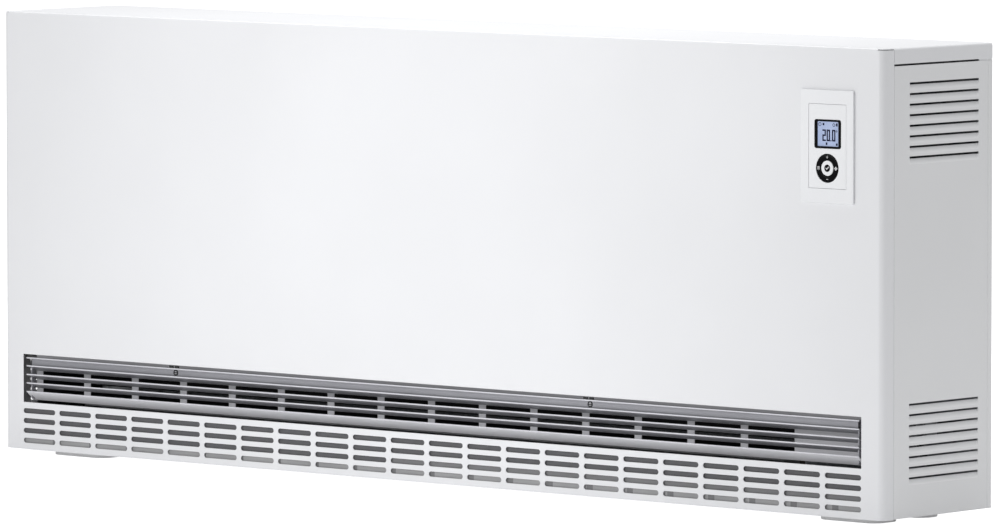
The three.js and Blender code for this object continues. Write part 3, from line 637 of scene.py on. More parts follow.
def front_panel():
    """One folded sheet: the front, two round corners with a strip behind each, and the top fold."""
    corner = HALF - CORNER_RADIUS
    steps = 10
    plan = Track(
        [(-HALF, SEAM)]
        + arc(-corner, CORNER_RADIUS, CORNER_RADIUS, 180, 270, steps)
        + arc(corner, CORNER_RADIUS, CORNER_RADIUS, 270, 360, steps)
        + [(HALF, SEAM)]
    )
    middle = plan.length / 2
    shoulder = PANEL_TOP - CORNER_DROP
    fold_start = PANEL_TOP - FOLD_RADIUS
    fold_end = fold_start + FOLD_RADIUS * math.pi / 2
    flap_end = fold_end + SEAM - FOLD_RADIUS
    left_stops, right_stops = plan.stops[:steps + 2], plan.stops[steps + 2:]

    def place(s, z, depth):
        if z <= fold_start or not -corner - 1 <= s - middle <= corner + 1 and z < fold_end - 0.5:
            x, y = plan.at(s, depth)
            return x, y, z
        if z < fold_end:
            turn = (z - fold_start) / FOLD_RADIUS
            reach = FOLD_RADIUS - depth
            return s - middle, FOLD_RADIUS - reach * math.cos(turn), fold_start + reach * math.sin(turn)
        return s - middle, FOLD_RADIUS + z - fold_end, PANEL_TOP - depth

    fold = [fold_start + (fold_end - fold_start) * k / BEND_STEPS for k in range(BEND_STEPS + 1)]
    start_turn = math.degrees(math.asin(1 - FOLD_RADIUS / CORNER_RADIUS))
    flap = [
        (middle + corner + a, fold_end + b)
        for a, b in arc(0, CORNER_RADIUS - FOLD_RADIUS, CORNER_RADIUS, -start_turn, 0, steps)
    ]
    right = [(middle + corner, z) for z in fold] + flap + [(middle + HALF, flap_end)]
    left = [(2 * middle - s, z) for s, z in reversed(right)]
    outline = [(s, 0) for s in plan.stops]
    outline += [(s, shoulder) for s in reversed(right_stops[1:])] + right + left
    outline += [(s, shoulder) for s in reversed(left_stops[:-1])]
    lines = [((s, 0), (s, shoulder)) for s in left_stops[1:-1] + right_stops[1:-1]]
    lines += [((middle - corner, z), (middle + corner, z)) for z in fold]

    def shifted(loop):
        return [(a + middle, b) for a, b in loop]

    outlet = shifted(rounded(0, (OUTLET_BOTTOM + OUTLET_TOP) / 2, 2 * OUTLET_HALF,
                             OUTLET_TOP - OUTLET_BOTTOM, 1.0, 3))
    window = shifted(around("control_housing", -8, 1.5, 3))
    holes = [outlet, window] + [shifted(slot) for slot in intake_slots()]
    skin = sheet(outline, holes, place, SHEET, 0.35, lines, rounds=3)
    piece("front_shell", [(skin, "white_paint")], "front_panel")


def top_cover():
    """Lid with a skirt at each side and a turned-down rear edge."""
    low, high = extent("top_cover")
    radius = 4
    edge = HALF - radius
    section = Track(
        [(HALF, low.z)]
        + arc(edge, high.z - radius, radius, 0, 90, BEND_STEPS)
        + arc(-edge, high.z - radius, radius, 90, 180, BEND_STEPS)
        + [(-HALF, low.z)]
    )
    outline, lines = section.strip(low.y, high.y - SHEET / 2)

    def place(s, y, depth):
        x, z = section.at(s, depth)
        return x, y, z

    lid = sheet(outline, [], place, SHEET, 0.35, lines)
    rear = rounded(0, (low.z + high.z) / 2, 2 * HALF - 1, high.z - low.z - 0.5, 3.5)
    flange = sheet(rear, [], plane_xz(high.y - SHEET), SHEET, 0.35)
    piece("top_lid", [(lid, "white_paint"), (flange, "white_paint")], "top_cover")


SIDE_FLANGE = 16
SIDE_BEND = 1.6
CLOSER_FRONT = 207.6
CLOSER_HEIGHT = 3.4
LOUVRE_FRONT = 55
LOUVRE_REAR = 206
LOUVRE_PITCH = 14.35
LOUVRE_HEIGHT = 10.8
LOUVRE_INSET = 3.0
LOUVRE_OPENING = 3.1
LOUVRE_END = 1.2
LOUVRE_CURVE = 1.7
LOUVRE_RAMPS = [0.0, 0.2, 0.4, 0.6, 0.8, 1.0, 1.3]
LOUVRE_ROWS = 8
LOUVRES_PER_FIELD = 8
LOUVRE_TOPS = [593, 156.2]
CREASE_Y = 226
CREASE_DEPTH = 0.9


def eased(t):
    t = min(max(t, 0), 1)
    return t * t * (3 - 2 * t)


def louvre_press(y, z, top):
    """How far the side panel is pressed in at (y, z) for the louvre below top."""
    up = (z - top + LOUVRE_HEIGHT) / (LOUVRE_HEIGHT - LOUVRE_OPENING)
    if not 0 <= up <= 1.05 or not LOUVRE_FRONT <= y <= LOUVRE_REAR:
        return 0
    ends = eased(min(y - LOUVRE_FRONT, LOUVRE_REAR - y) / LOUVRE_END)
    return LOUVRE_INSET * ends * min(up, 1) ** LOUVRE_CURVE


def side_panel(name, node, side):
    """Side sheet with pressed louvres and a flange turned in at each upright edge."""
    low, high = extent(node)
    front, rear, outer, flange, radius = low.y, high.y, HALF, HALF - SIDE_FLANGE, SIDE_BEND
    plan = Track(
        [(flange, front)]
        + arc(outer - radius, front + radius, radius, -90, 0, 4)
        + [(outer, CREASE_Y - 1), (outer - CREASE_DEPTH, CREASE_Y), (outer, CREASE_Y + 1)]
        + arc(outer - radius, rear - radius, radius, 0, 90, 4)
        + [(flange, rear)]
    )
    outline, lines = plan.strip(low.z, high.z)
    face_start = plan.stops[5]
    shift = face_start - (front + radius)
    tops = [top - i * LOUVRE_PITCH for top in LOUVRE_TOPS for i in range(LOUVRES_PER_FIELD)]
    stations = [LOUVRE_FRONT + r for r in LOUVRE_RAMPS] + [LOUVRE_REAR - r for r in LOUVRE_RAMPS[::-1]]
    slots, points = [], []
    for top in tops:
        lip = top - LOUVRE_OPENING
        lower = [(y + shift, lip) for y in stations]
        upper = [(LOUVRE_REAR + shift, top), (LOUVRE_FRONT + shift, top)]
        slots.append(lower + upper)
        blade = LOUVRE_HEIGHT - LOUVRE_OPENING
        for k in range(LOUVRE_ROWS):
            z = lip - blade * (1 - k / (LOUVRE_ROWS + 0.2))
            points += [(y + shift, z) for y in stations]

    def place(s, z, depth):
        x, y = plan.at(s, depth)
        field = [top for top in tops if top - LOUVRE_HEIGHT <= z <= top - LOUVRE_OPENING / 2]
        flat = face_start < s < LOUVRE_REAR + shift + 1
        pressed = louvre_press(y, z, field[0]) if field and flat else 0
        return side * (x - pressed), y, z

    skin = sheet(outline, slots, place, SHEET, 0.12, lines, points)
    x0, x1 = sorted((side * (HALF - 3), side * (HALF - 1)))
    closer = box(x0, x1, CLOSER_FRONT, rear - 0.6, high.z - 1, high.z + CLOSER_HEIGHT)
    obj = piece(name, [(skin, "side_paint"), (closer, "side_paint")], node)
    # The pressed louvre faces get the lighter copy of the side paint: painted light.
    obj.data.materials.append(LOOKS["louvre_painted_light"])
    for polygon in obj.data.polygons:
        y, z = (polygon.center.y - FRONT) / MM, (polygon.center.z - BASE) / MM
        if any(louvre_press(y, z, top) > 0.01 for top in tops):
            polygon.material_index = 2


BACK_INSET = 1.3
BEADS = [-600, -360, -120, 120, 360, 600]
BEAD_HALF = 6
BEAD_DEPTH = 2.0
BEAD_SLOPE = 3
BACK_SCREWS = [-780, -240, 240, 700]
BACK_SCREW_HEAD = [(0, 3.4), (2.6, 3.3), (4.0, 2.6), (4.3, 1.3), (0, 1.3)]
CABLE_ENTRY = 11.5


def rear_panel():
    """Zinc-coated back with pressed upright beads, screws and the cable's entry."""
    low, high = extent("rear_panel")
    cable_x, cable_z = middle_of("cable_grommet")
    reach, face, bottom = HALF - BACK_INSET, low.y, low.y + BEAD_DEPTH
    points = [(reach, face)]
    for x in reversed(BEADS):
        points += [(x + BEAD_HALF + BEAD_SLOPE, face), (x + BEAD_HALF, bottom)]
        points += [(x - BEAD_HALF, bottom), (x - BEAD_HALF - BEAD_SLOPE, face)]
    plan = Track(points + [(-reach, face)])
    outline, lines = plan.strip(low.z, high.z)
    entry = circle(reach - cable_x, cable_z, CABLE_ENTRY, 32)

    def place(s, z, depth):
        x, y = plan.at(s, 0)
        return x, y + depth, z

    parts = [(sheet(outline, [entry], place, SHEET, 0.25, lines), "sheet_steel")]
    head = [(radius, low.y + depth) for radius, depth in BACK_SCREW_HEAD]
    for x in BACK_SCREWS:
        for z in (18, high.z - 12):
            parts.append((turned(head, x, z, 24), "steel_hardware"))
    piece("back_sheet", parts, "rear_panel")


FOOT_PADS = [(18, 75), (118, 165)]
FOOT_BAR = (24, 160)
FOOT_CORNER = 20


def foot(name, node):
    """Moulded foot: a front and a rear pad joined by a bar under the casing."""
    low, high = extent(node)
    parts = []
    for front, rear in FOOT_PADS:
        plan = rounded(middle_of(node)[0], (front + rear) / 2, high.x - low.x, rear - front, FOOT_CORNER, 12)
        parts.append((sheet(plan, [], plane_xy(low.z), -0.4 - low.z, 1.4, rounds=4), "foot_plastic"))
    plan = rectangle(low.x + FOOT_CORNER, high.x - FOOT_CORNER, *FOOT_BAR)
    parts.append((sheet(plan, [], plane_xy(-2), 3.4, 0.5), "foot_plastic"))
    piece(name, parts, node)


front_panel()
top_cover()
side_panel("right_side_sheet", "right_side_panel", 1)
side_panel("left_side_sheet", "left_side_panel", -1)
rear_panel()
foot("left_foot_moulding", "left_foot")
foot("right_foot_moulding", "right_foot")

# ---- outlet

BLADE_TOPS = [135.1, 123.4, 110.7, 98.2, 85.6]
BLADE = 1.8
BLADE_DROP = 7.5
BOTTOM_DEPTH = 14.5
BOTTOM_DROP = 12.0
BAR_INSET = 5.5
BAR_THICK = 1.5
END_INSET = 4.0
LIP_DEPTH = 0.9
GRILLE_LOW, GRILLE_HIGH = extent("outlet_grille")
GRILLE_FRONT = GRILLE_LOW.y
GRILLE_DEPTH = GRILLE_HIGH.y - GRILLE_LOW.y
LOCK_RADIUS = 4.4
LOCK_HEAD = 5
LOCK_RIM = 1.6
NOSE_PITCH = 11
NOSE_LENGTH = 7.5
NOSE_HEIGHT = 3.4
DUCT_COLUMNS = 15
DUCT_SLOT_LEFT = -785.5
DUCT_SLOT_WIDTH = 83.3
DUCT_SLOT_HEIGHT = 7.6
DUCT_PITCH_X = 95.9
DUCT_PITCH_Z = 12.5
DUCT_SLOT_MIDDLE = 95.7
DUCT_CLOSED_TO = 650
DUCT_INLET = 10
DUCT_WALL_BEHIND = 25
DUCT_WALL_BELOW = 35


def outlet_grille():
    """Blades that lean down towards the rear, each with a rounded front lip whose lighter finish is a
    painted highlight; the lowest blade has a lighter, faintly glowing finish as painted light.
    """
    left, right = GRILLE_LOW.x, GRILLE_HIGH.x
    inner_left, inner_right = left + END_INSET, right - END_INSET
    parts = []
    bodies = [(BAR_INSET + BAR_THICK, 0)] + [(GRILLE_DEPTH, BLADE_DROP)] * 3
    bodies.append((BOTTOM_DEPTH, BOTTOM_DROP))
    for top, (reach, drop) in zip(BLADE_TOPS, bodies):
        low, rear = top - BLADE, GRILLE_FRONT + reach
        start = GRILLE_FRONT + LIP_DEPTH * 0.7
        body = softened([(start, low), (rear, low - drop), (rear, top - drop), (start, top)], 0.4)
        lip = rectangle(GRILLE_FRONT, GRILLE_FRONT + LIP_DEPTH, low - 0.1, top + 0.1)
        # The lowest blade gets the lighter, glowing copy of the grille finish: painted light.
        finish = "bottom_blade_painted_light" if drop == BOTTOM_DROP else "grille_aluminium"
        # The front lip's lighter finish is a painted highlight.
        for section, material in ((body, finish), (softened(lip, 0.55, 4), "grille_lip_painted_highlight")):
            parts.append((sheet(section, [], plane_yz(left), right - left, 0.2), material))
    bar_front = GRILLE_FRONT + BAR_INSET
    centres = [middle_of("left_grille_lock"), middle_of("right_grille_lock")]
    locks = [circle(x, z, LOCK_RADIUS + 0.4) for x, z in centres]
    bar = rectangle(inner_left, inner_right, BLADE_TOPS[1] - BLADE - 1.4, BLADE_TOPS[0] - 1)
    parts.append((sheet(bar, locks, plane_xz(bar_front), BAR_THICK, 0.2), "grille_aluminium"))
    web = softened(rectangle(bar_front, GRILLE_FRONT + BOTTOM_DEPTH - 1,
                             BLADE_TOPS[4] - BOTTOM_DROP, BLADE_TOPS[0] - 1), 1.5)
    for x in (inner_left, inner_right - 2):
        parts.append((sheet(web, [], plane_yz(x), 2, 0.2), "grille_aluminium"))
    for x in [x + side * NOSE_PITCH / 2 for x, _ in centres for side in (-1, 1)]:
        nose = box(x - NOSE_LENGTH / 2, x + NOSE_LENGTH / 2, GRILLE_FRONT + 1.2, GRILLE_FRONT + 3.2,
                   BLADE_TOPS[0] - 0.3, BLADE_TOPS[0] + NOSE_HEIGHT, 0.4)
        parts.append((nose, "black_rubber"))
    piece("grille", parts, "outlet_grille", "outlet_grille")


def grille_lock(name, node):
    """Quarter-turn lock: a domed head with a screwdriver slot, and a tongue behind the bar."""
    x, z = middle_of(node)
    low, high = extent(node)
    face = low.y
    inner = LOCK_RADIUS - LOCK_RIM
    rim = [(inner, face + 0.8), (inner + 0.15, face + 0.1), (LOCK_RADIUS - 0.4, face + 0.05),
           (LOCK_RADIUS - 0.1, face + 0.2), (LOCK_RADIUS, face + 0.6),
           (LOCK_RADIUS, face + LOCK_HEAD), (0, face + LOCK_HEAD)]
    body = turned([(0, face + 0.8)] + rim, x, z, 48)
    halves = []
    for side in (1, -1):
        cap = [(x + a, z + side * b) for a, b in arc(0, 0, inner - 0.2, 14, 166, 18)]
        halves.append((sheet(cap, [], plane_xz(face), 1.0, 0.25), "steel_hardware"))
    tongue = box(x - 1.4, x + 1.4, face + LOCK_HEAD - 0.2, high.y, z - 2.8, z + 2.8)
    piece(name, [(body, "lock_head"), (tongue, "steel_hardware")] + halves, node, node, "steel_hardware")


def outlet_duct():
    """Duct front with three rows of slots, its roof, floor and left wall, and a back open at its foot; the
    inner walls are near black as painted shade, and the front glows faintly as painted light.
    """
    low, high = extent("outlet_duct")
    slots = []
    for row in (1, 0, -1):
        z = DUCT_SLOT_MIDDLE + row * DUCT_PITCH_Z
        for column in range(DUCT_COLUMNS):
            x = DUCT_SLOT_LEFT + column * DUCT_PITCH_X + DUCT_SLOT_WIDTH / 2
            slots.append(rounded(x, z, DUCT_SLOT_WIDTH, DUCT_SLOT_HEIGHT, 1.2, 3))
    face = sheet(rectangle(low.x, high.x, low.z, high.z), slots, plane_xz(low.y), SHEET, 0.25)
    front, ceiling = low.y + SHEET / 2, high.z - SHEET / 2
    deep = rectangle(low.x, DUCT_CLOSED_TO, front, high.y)
    end = rectangle(front, high.y + DUCT_WALL_BEHIND, low.z - DUCT_WALL_BELOW, ceiling)
    back = rectangle(low.x, DUCT_CLOSED_TO, low.z + DUCT_INLET, ceiling)
    walls = [(deep, plane_xy(high.z - SHEET)), (deep, plane_xy(low.z)), (end, plane_yz(low.x)),
             (back, plane_xz(high.y - SHEET))]
    # The roof, floor, left wall and back are near black: painted shade inside the duct.
    inner = [(sheet(outline, [], place, SHEET, 0.25), "duct_inside_painted_shade") for outline, place in walls]
    # The duct front's finish glows faintly: painted light.
    piece("duct", [(face, "duct_aluminium")] + inner, "outlet_duct")


FILTER_BAR_HALF = 1.6
PAD_BOTTOM = 21.8
# Edges of the lighter band behind the third slot row at the right: painted light.
LIGHT_BAND_TOP = 36.0
LIGHT_BAND_LEFT = -70
# Darker upright stripes on the lower band, at about the slot pitch: painted shadows of the bars between the
# slots.
SHADOW_STRIPE_START = 62
SHADOW_STRIPE_PITCH = 73.4
SHADOW_STRIPE_WIDTH = 11


def lint_filter():
    """Filter frame with its bars and a woven pad; a lighter band at the right is painted light, and a pale
    lower band with darker upright stripes is painted light with painted shadows of the bars between the
    slots.
    """
    low, high = extent("lint_filter")
    bars = [low.x + FILTER_BAR_HALF + k * 2 * SLOT_PITCH_X for k in range(SLOT_COLUMNS // 2 + 1)]
    windows = [
        rectangle(start + FILTER_BAR_HALF, end - FILTER_BAR_HALF, low.z + 2.5, high.z - 2.2)
        for start, end in zip(bars, bars[1:])
    ]
    rim = sheet(rectangle(low.x, high.x, low.z, high.z), windows, plane_xz(low.y), high.y - low.y, 0.3)
    parts = [(rim, "filter_plastic")]
    # The pad is the gauze; the band at the right and the lower band are lighter grey: painted light.
    bands = [
        (low.x + 1, LIGHT_BAND_LEFT, PAD_BOTTOM, high.z - 1, "filter_mesh"),
        (LIGHT_BAND_LEFT + 0.2, high.x - 1, LIGHT_BAND_TOP, high.z - 1, "filter_mesh"),
        (LIGHT_BAND_LEFT + 0.2, high.x - 1, PAD_BOTTOM, LIGHT_BAND_TOP - 0.2, "painted_light_and_shadow_grey"),
        (low.x + 1, high.x - 1, low.z + 1, PAD_BOTTOM - 0.2, "lower_band_painted_light"),
    ]
    for x0, x1, bottom, top, material in bands:
        parts.append((sheet(rectangle(x0, x1, bottom, top), [], plane_xz(low.y + 0.6), 0.8, 0.2), material))
    # Darker upright stripes on the lower band: painted shadows of the bars between the slots.
    for k in range(SLOT_COLUMNS):
        x = low.x + SHADOW_STRIPE_START + k * SHADOW_STRIPE_PITCH
        shadow_stripe = rectangle(x, x + SHADOW_STRIPE_WIDTH, low.z + 1.2, PAD_BOTTOM - 0.4)
        parts.append((sheet(shadow_stripe, [], plane_xz(low.y + 0.4), 0.4, 0.1), "painted_light_and_shadow_grey"))
    piece("filter", parts, "lint_filter")


lint_filter()
outlet_grille()
grille_lock("left_lock_head", "left_grille_lock")
grille_lock("right_lock_head", "right_grille_lock")
outlet_duct()

# ---- control unit

DISPLAY_X, DISPLAY_Z = middle_of("display_frame")
WINDOW_WIDTH = 37
WINDOW_HEIGHT = 33.9
LCD_DEPTH = 1.2
LCD_FLANGE = 2
RING_LOW, RING_HIGH = extent("ring_button")
RING_X, RING_Z = middle_of("ring_button")
RING_OUTER = (RING_HIGH.x - RING_LOW.x) / 2
RING_INNER = 10.9
RING_REST = 1.7


def control_housing():
    """Raised rim around the face plate, a wall behind it and a floor with one window."""
    low, high = extent("control_housing")
    top, bottom = DISPLAY_Z + WINDOW_HEIGHT / 2 + 1.6, RING_Z - RING_OUTER - RING_REST
    window = rounded(DISPLAY_X, (top + bottom) / 2, WINDOW_WIDTH + 4, top - bottom, 2, 3)
    opening = around("control_face", 0.8, 1.2)
    rim = sheet(around("control_housing", 0, 1.6), [opening], plane_xz(low.y), -0.3 - low.y, 0.45, rounds=3)
    wall = sheet(around("control_housing", -9, 1.5, 3), [around("control_housing", -13, 1, 3)],
                 plane_xz(-0.4), high.y + 0.4, 0.3)
    floor = sheet(around("control_housing", -12, 1, 3), [window], plane_xz(0.1), 1.3, 0.2)
    piece("control_bezel", [(part, "control_plastic") for part in (rim, wall, floor)], "control_housing")


def control_face():
    face = extent("control_face")[0].y
    holes = [around("display_frame", 0.8, 3.4), circle(RING_X, RING_Z, RING_OUTER + 0.5, 72)]
    plate = sheet(around("control_face", 0, 0.9), holes, plane_xz(face), -face, 0.3, rounds=3)
    piece("control_faceplate", [(plate, "control_plastic")], "control_face")


def display_frame():
    low, high = extent("display_frame")
    opening = rounded(DISPLAY_X, DISPLAY_Z, WINDOW_WIDTH, WINDOW_HEIGHT, 1)
    body = sheet(around("display_frame", 0, 3, 8), [opening], plane_xz(low.y), high.y - low.y, 0.5, rounds=4)
    piece("display_surround", [(body, "gloss_black")], "display_frame")


# The reading and the symbols: places are shares of the window, sizes are in millimetres.
INK_HEIGHT = 0.06
DIGIT_WIDTH = 0.165 * WINDOW_WIDTH
DIGIT_HEIGHT = 0.47 * WINDOW_HEIGHT
DIGIT_STROKE = 2.2
DIGIT_FOOT = 0.79
TWO_LEFT = 0.23
ZERO_LEFTS = [0.43, 0.68]
POINT = (0.632, 0.765, 0.95)
BLOCKS = [(0.28, 0.11, 3.0, 3.2), (0.91, 0.12, 2.8, 4.2), (0.43, 0.89, 2.8, 3.6), (0.91, 0.91, 3.0, 3.2)]
RINGLETS = [(0.11, 0.12, 2.6), (0.77, 0.13, 2.3), (0.9, 0.38, 1.4)]
RINGLET_WIDTH = 0.8


def numeral_two(left, bottom, width, height, thick):
    """Outline of a square-cut 2."""
    right, top, centre, half = left + width, bottom + height, bottom + height / 2, thick / 2
    return [
        (left, bottom), (right, bottom), (right, bottom + thick), (left + thick, bottom + thick),
        (left + thick, centre - half), (right, centre - half), (right, top), (left, top),
        (left, top - thick), (right - thick, top - thick), (right - thick, centre + half),
        (left, centre + half),
    ]


def on_display(u, v):
    """Point at a share u of the window's width from the left and v of its height from the top."""
    return DISPLAY_X + (u - 0.5) * WINDOW_WIDTH, DISPLAY_Z + (0.5 - v) * WINDOW_HEIGHT


def display():
    """Display glass with the generic reading 20.0 degrees and small plain symbols."""
    low, high = extent("display_lcd")
    face = extent("display_frame")[0].y + LCD_DEPTH
    pane = sheet(rounded(DISPLAY_X, DISPLAY_Z, WINDOW_WIDTH - 0.3, WINDOW_HEIGHT - 0.3, 0.8), [],
                 plane_xz(face), high.y - face, 0.1)
    flange = box(low.x, high.x, high.y - LCD_FLANGE, high.y, low.z, high.z, 0.2)
    u, v, radius = POINT
    plain = [numeral_two(*on_display(TWO_LEFT, DIGIT_FOOT), DIGIT_WIDTH, DIGIT_HEIGHT, DIGIT_STROKE),
             circle(*on_display(u, v), radius, 16)]
    plain += [rounded(*on_display(u, v), w, h, 0.4, 3) for u, v, w, h in BLOCKS]
    glyphs = [(outline, []) for outline in plain]
    for u in ZERO_LEFTS:
        a, b = on_display(u, DIGIT_FOOT)
        spot = a + DIGIT_WIDTH / 2, b + DIGIT_HEIGHT / 2
        hollow = rounded(*spot, DIGIT_WIDTH - 2 * DIGIT_STROKE, DIGIT_HEIGHT - 2 * DIGIT_STROKE, 0.2, 3)
        glyphs.append((rounded(*spot, DIGIT_WIDTH, DIGIT_HEIGHT, 0.5, 3), [hollow]))
    for u, v, radius in RINGLETS:
        spot = on_display(u, v)
        glyphs.append((circle(*spot, radius, 24), [circle(*spot, radius - RINGLET_WIDTH, 24)]))
    place = plane_xz(face - INK_HEIGHT)
    ink = [(sheet(outer, holes, place, INK_HEIGHT, 0), "display_ink") for outer, holes in glyphs]
    piece("display_glass", [(pane, "display_glass"), (flange, "grey_plastic")] + ink, "display_lcd")


# Marks on the ring: plus and minus share an arm and a line width, the menu mark is three bars.
PLUS_ARM = 3.4
PLUS_LINE = 0.7
PLUS_OFFSET = PLUS_ARM / 4 + 0.2
MENU_BAR = (4.0, 0.9)
MENU_PITCH = 1.6
BLADE_SPOT = 1.15
BLADE_REACH = 1.5
TICK = [(-2.8, -0.1), (-2.0, 0.7), (-0.7, -0.6), (2.2, 2.3), (3.0, 1.5), (-0.7, -2.2)]
DOT = 5.0


def ring_button():
    """Rocking ring: a shallow crowned annulus with plus, minus, menu and fan marks."""
    face, rear = RING_LOW.y, RING_HIGH.y
    width = RING_OUTER - RING_INNER
    crown = [
        (RING_INNER + width * (0.5 - 0.5 * math.cos(t)), face + 0.9 * (1 - math.sin(t) ** 0.35))
        for t in [math.pi * k / 16 for k in range(17)]
    ]
    profile = crown + [(RING_OUTER, rear), (RING_INNER, rear)]
    body = turned(profile, RING_X, RING_Z, 96, loop=True)
    reach = (RING_OUTER + RING_INNER) / 2
    bars = [(0, reach, PLUS_ARM, PLUS_LINE), (0, -reach, PLUS_ARM, PLUS_LINE)]
    bars += [(-reach, MENU_PITCH * k, *MENU_BAR) for k in (-1, 0, 1)]
    bars += [(0, reach + side * PLUS_OFFSET, PLUS_LINE, PLUS_ARM / 2) for side in (1, -1)]
    outlines = [rectangle(RING_X + a - w / 2, RING_X + a + w / 2, RING_Z + b - h / 2, RING_Z + b + h / 2)
                for a, b, w, h in bars]
    outlines += [circle(*spot, BLADE_SPOT, 14) for spot in circle(RING_X + reach, RING_Z, BLADE_REACH, 4)]
    marks = [(sheet(outline, [], plane_xz(face - 0.03), 0.2, 0), "button_marks") for outline in outlines]
    piece("rocker_ring", [(body, "gloss_black")] + marks, "ring_button", "ring_button")


def ok_button():
    """Centre button: a white dished cap with a black dot and a tick."""
    low, high = extent("ok_button")
    radius = (high.x - low.x) / 2
    cap = [(0, low.y + 0.35), (DOT, low.y + 0.35), (DOT + 0.3, low.y + 0.12), (radius * 0.8, low.y),
           (radius - 0.5, low.y + 0.1), (radius - 0.12, low.y + 0.35), (radius, low.y + 0.8),
           (radius, high.y - 0.3), (radius - 0.3, high.y), (0, high.y)]
    face = low.y + 0.1
    spot = [(0, face), (DOT - 0.3, face), (DOT, face + 0.12), (DOT, low.y + 0.6), (0, low.y + 0.6)]
    tick = sheet([(RING_X + a, RING_Z + b) for a, b in TICK], [], plane_xz(face - 0.04), 0.1, 0)
    parts = [(turned(cap, RING_X, RING_Z, 72), "control_plastic"),
             (turned(spot, RING_X, RING_Z, 56), "gloss_black"), (tick, "control_plastic")]
    piece("ok_cap", parts, "ok_button", "ok_button")


control_housing()
control_face()
display_frame()
display()
ring_button()
ok_button()

# ---- cable


CABLE_RADIUS = 5
CORE_RADIUS = 1.4
CORE_CIRCLE = 2.1


def mains_cable():
    """Round lead from the terminal block down and out through the back, with its three cores."""
    low, high = extent("mains_cable")
    x, z, end = (low.x + high.x) / 2, low.z + CABLE_RADIUS, high.y
    run = smooth_run([(x, 163, 92), (x, 168, 78), (x, 180, z + 4), (x, 200, z), (x, end - 1, z)])
    parts = [(tube(run, CABLE_RADIUS, 28), "black_rubber")]
    for (a, b), material in zip(circle(x, z, CORE_CIRCLE, 3), ("bronze", "grey_plastic", "steel_hardware")):
        parts.append((tube([(a, end - 2, b), (a, end, b)], CORE_RADIUS, 16), material))
    piece("mains_lead", parts, "mains_cable")


def cable_grommet():
    low, high = extent("cable_grommet")
    outer, hole = (high.x - low.x) / 2, 5.5
    profile = [(hole, low.y + 0.8), (hole + 0.8, low.y), (outer - 0.8, low.y), (outer, low.y + 0.8),
               (outer, high.y - 1.5), (outer - 0.6, high.y - 0.4), (outer - 1.6, high.y), (hole + 1, high.y),
               (hole + 0.3, high.y - 0.3), (hole, high.y - 1)]
    ring = turned(profile, *middle_of("cable_grommet"), 48, loop=True)
    piece("grommet", [(ring, "black_rubber")], "cable_grommet")


mains_cable()
cable_grommet()

# ---- CAD nodes that stay as they are

# Finish, edge rounding and the endings of the node names that get them.
KEPT = [
    ("tray_steel", 0.3, "base_tray"),
    ("sheet_steel", 0.3, "core_shelf inner_front_cover electrical_bulkhead"),
    ("fan_metal", 0.0, "fan_housing _fan_rotor mixing_flap"),
    ("steel_hardware", 0.3, "_panel_screw fan_shaft flap_pivot_rod core_sensor"),
    ("steel_hardware", 0.0, "_heating_element"),
    ("storage_brick", 1.5, "_brick_course"),
    ("insulation_board", 1.5, "base_insulation top_insulation front_insulation rear_insulation"),
    ("insulation_board", 1.0, "left_insulation right_insulation"),
    ("motor_iron", 0.8, "fan_motor"),
    ("bronze", 0.4, "_fan_bearing bimetal_coil"),
    ("circuit_board", 0.2, "control_board"),
    ("grey_plastic", 0.3, "ring_button_carrier terminal_block safety_limiter"),
    ("controller_case", 0.8, "charge_controller"),
    ("black_rubber", 0.0, "wiring_loom"),
]
for look, edge, endings in KEPT:
    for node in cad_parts:
        if node.endswith(tuple(endings.split())):
            keep(node, look, edge)

# ---- studio

CAMERA_DISTANCE = 13.737
CAMERA_AZIMUTH = math.radians(41.291)
CAMERA_ELEVATION = math.radians(4.197)
AIM_YAW = math.radians(41.1778)
AIM_PITCH = math.radians(4.2658)
AIM_ROLL = math.radians(-0.0395)
LENS = 349.0
SENSOR = 36

FLOOR_REACH = 60
FLOOR_GLOW = (0.21, 0.95)
WORLD_GLOW = (0.45, 1.0)
SOFTBOXES = [
    ("front_softbox", (-0.09, -1.3, 0.75), (-0.09, 0, 0.35), 0.7, 0.5, 5.6),
    ("top_softbox", (0, 0.1, 2.4), (0, 0.1, 0.3), 2.4, 1.0, 39),
]


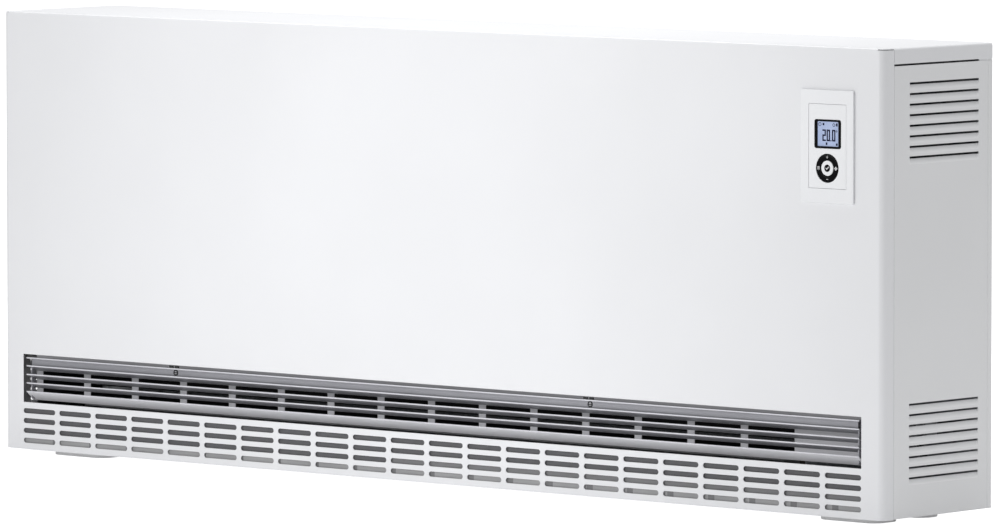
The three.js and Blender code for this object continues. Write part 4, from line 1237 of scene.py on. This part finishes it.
def camera():
    data = bpy.data.cameras.new("camera")
    data.lens, data.sensor_width = LENS, SENSOR
    data.clip_start, data.clip_end = 0.1, 200
    obj = placed("camera", data)
    level = math.cos(CAMERA_ELEVATION)
    away = Vector((math.sin(CAMERA_AZIMUTH) * level, -math.cos(CAMERA_AZIMUTH) * level,
                   math.sin(CAMERA_ELEVATION)))
    turn = Matrix.Rotation(AIM_YAW, 4, "Z") @ Matrix.Rotation(math.pi / 2 - AIM_PITCH, 4, "X")
    place = Matrix.Translation((cad_low + cad_high) / 2 + away * CAMERA_DISTANCE)
    obj.matrix_world = place @ turn @ Matrix.Rotation(AIM_ROLL, 4, "Z")
    bpy.context.scene.camera = obj


def two_levels(tree, socket, levels):
    """Drives a strength: the first level is what lights the scene, the second what the camera sees."""
    rays = tree.nodes.new("ShaderNodeLightPath")
    level = tree.nodes.new("ShaderNodeMapRange")
    level.inputs["To Min"].default_value, level.inputs["To Max"].default_value = levels
    tree.links.new(rays.outputs["Is Camera Ray"], level.inputs["Value"])
    tree.links.new(level.outputs["Result"], socket)


def studio_floor():
    g = Graph("studio_floor")
    drift = g.noise(0.6, detail=2)
    colour = g.ramp(drift, (0.3, (0.9, 0.9, 0.9)), (0.7, (0.93, 0.93, 0.93)))
    g.finish(colour, g.spread(drift, 0.85, 0.95), Emission_Color=(1, 1, 1, 1))
    two_levels(g.tree, g.shader.inputs["Emission Strength"], FLOOR_GLOW)
    mesh = bpy.data.meshes.new("studio_floor")
    corners = [(x, y, 0) for x, y in rectangle(-FLOOR_REACH, FLOOR_REACH, -FLOOR_REACH, FLOOR_REACH)]
    mesh.from_pydata(corners, [], [(0, 1, 2, 3)])
    mesh.materials.append(g.material)
    obj = placed("studio_floor", mesh)


def studio_light():
    world = bpy.data.worlds.new("studio")
    world.use_nodes = True
    backdrop = world.node_tree.nodes["Background"]
    backdrop.inputs["Color"].default_value = (0.985, 0.99, 1.0, 1)
    two_levels(world.node_tree, backdrop.inputs["Strength"], WORLD_GLOW)
    bpy.context.scene.world = world
    for name, place, target, width, height, power in SOFTBOXES:
        data = bpy.data.lights.new(name, "AREA")
        data.shape, data.size, data.size_y, data.energy = "RECTANGLE", width, height, power
        obj = placed(name, data)
        obj.location = place
        obj.rotation_euler = (Vector(target) - Vector(place)).to_track_quat("-Z", "Y").to_euler()
        obj.visible_camera = False


camera()
studio_floor()
studio_light()
bpy.context.scene.view_settings.view_transform = "Standard"
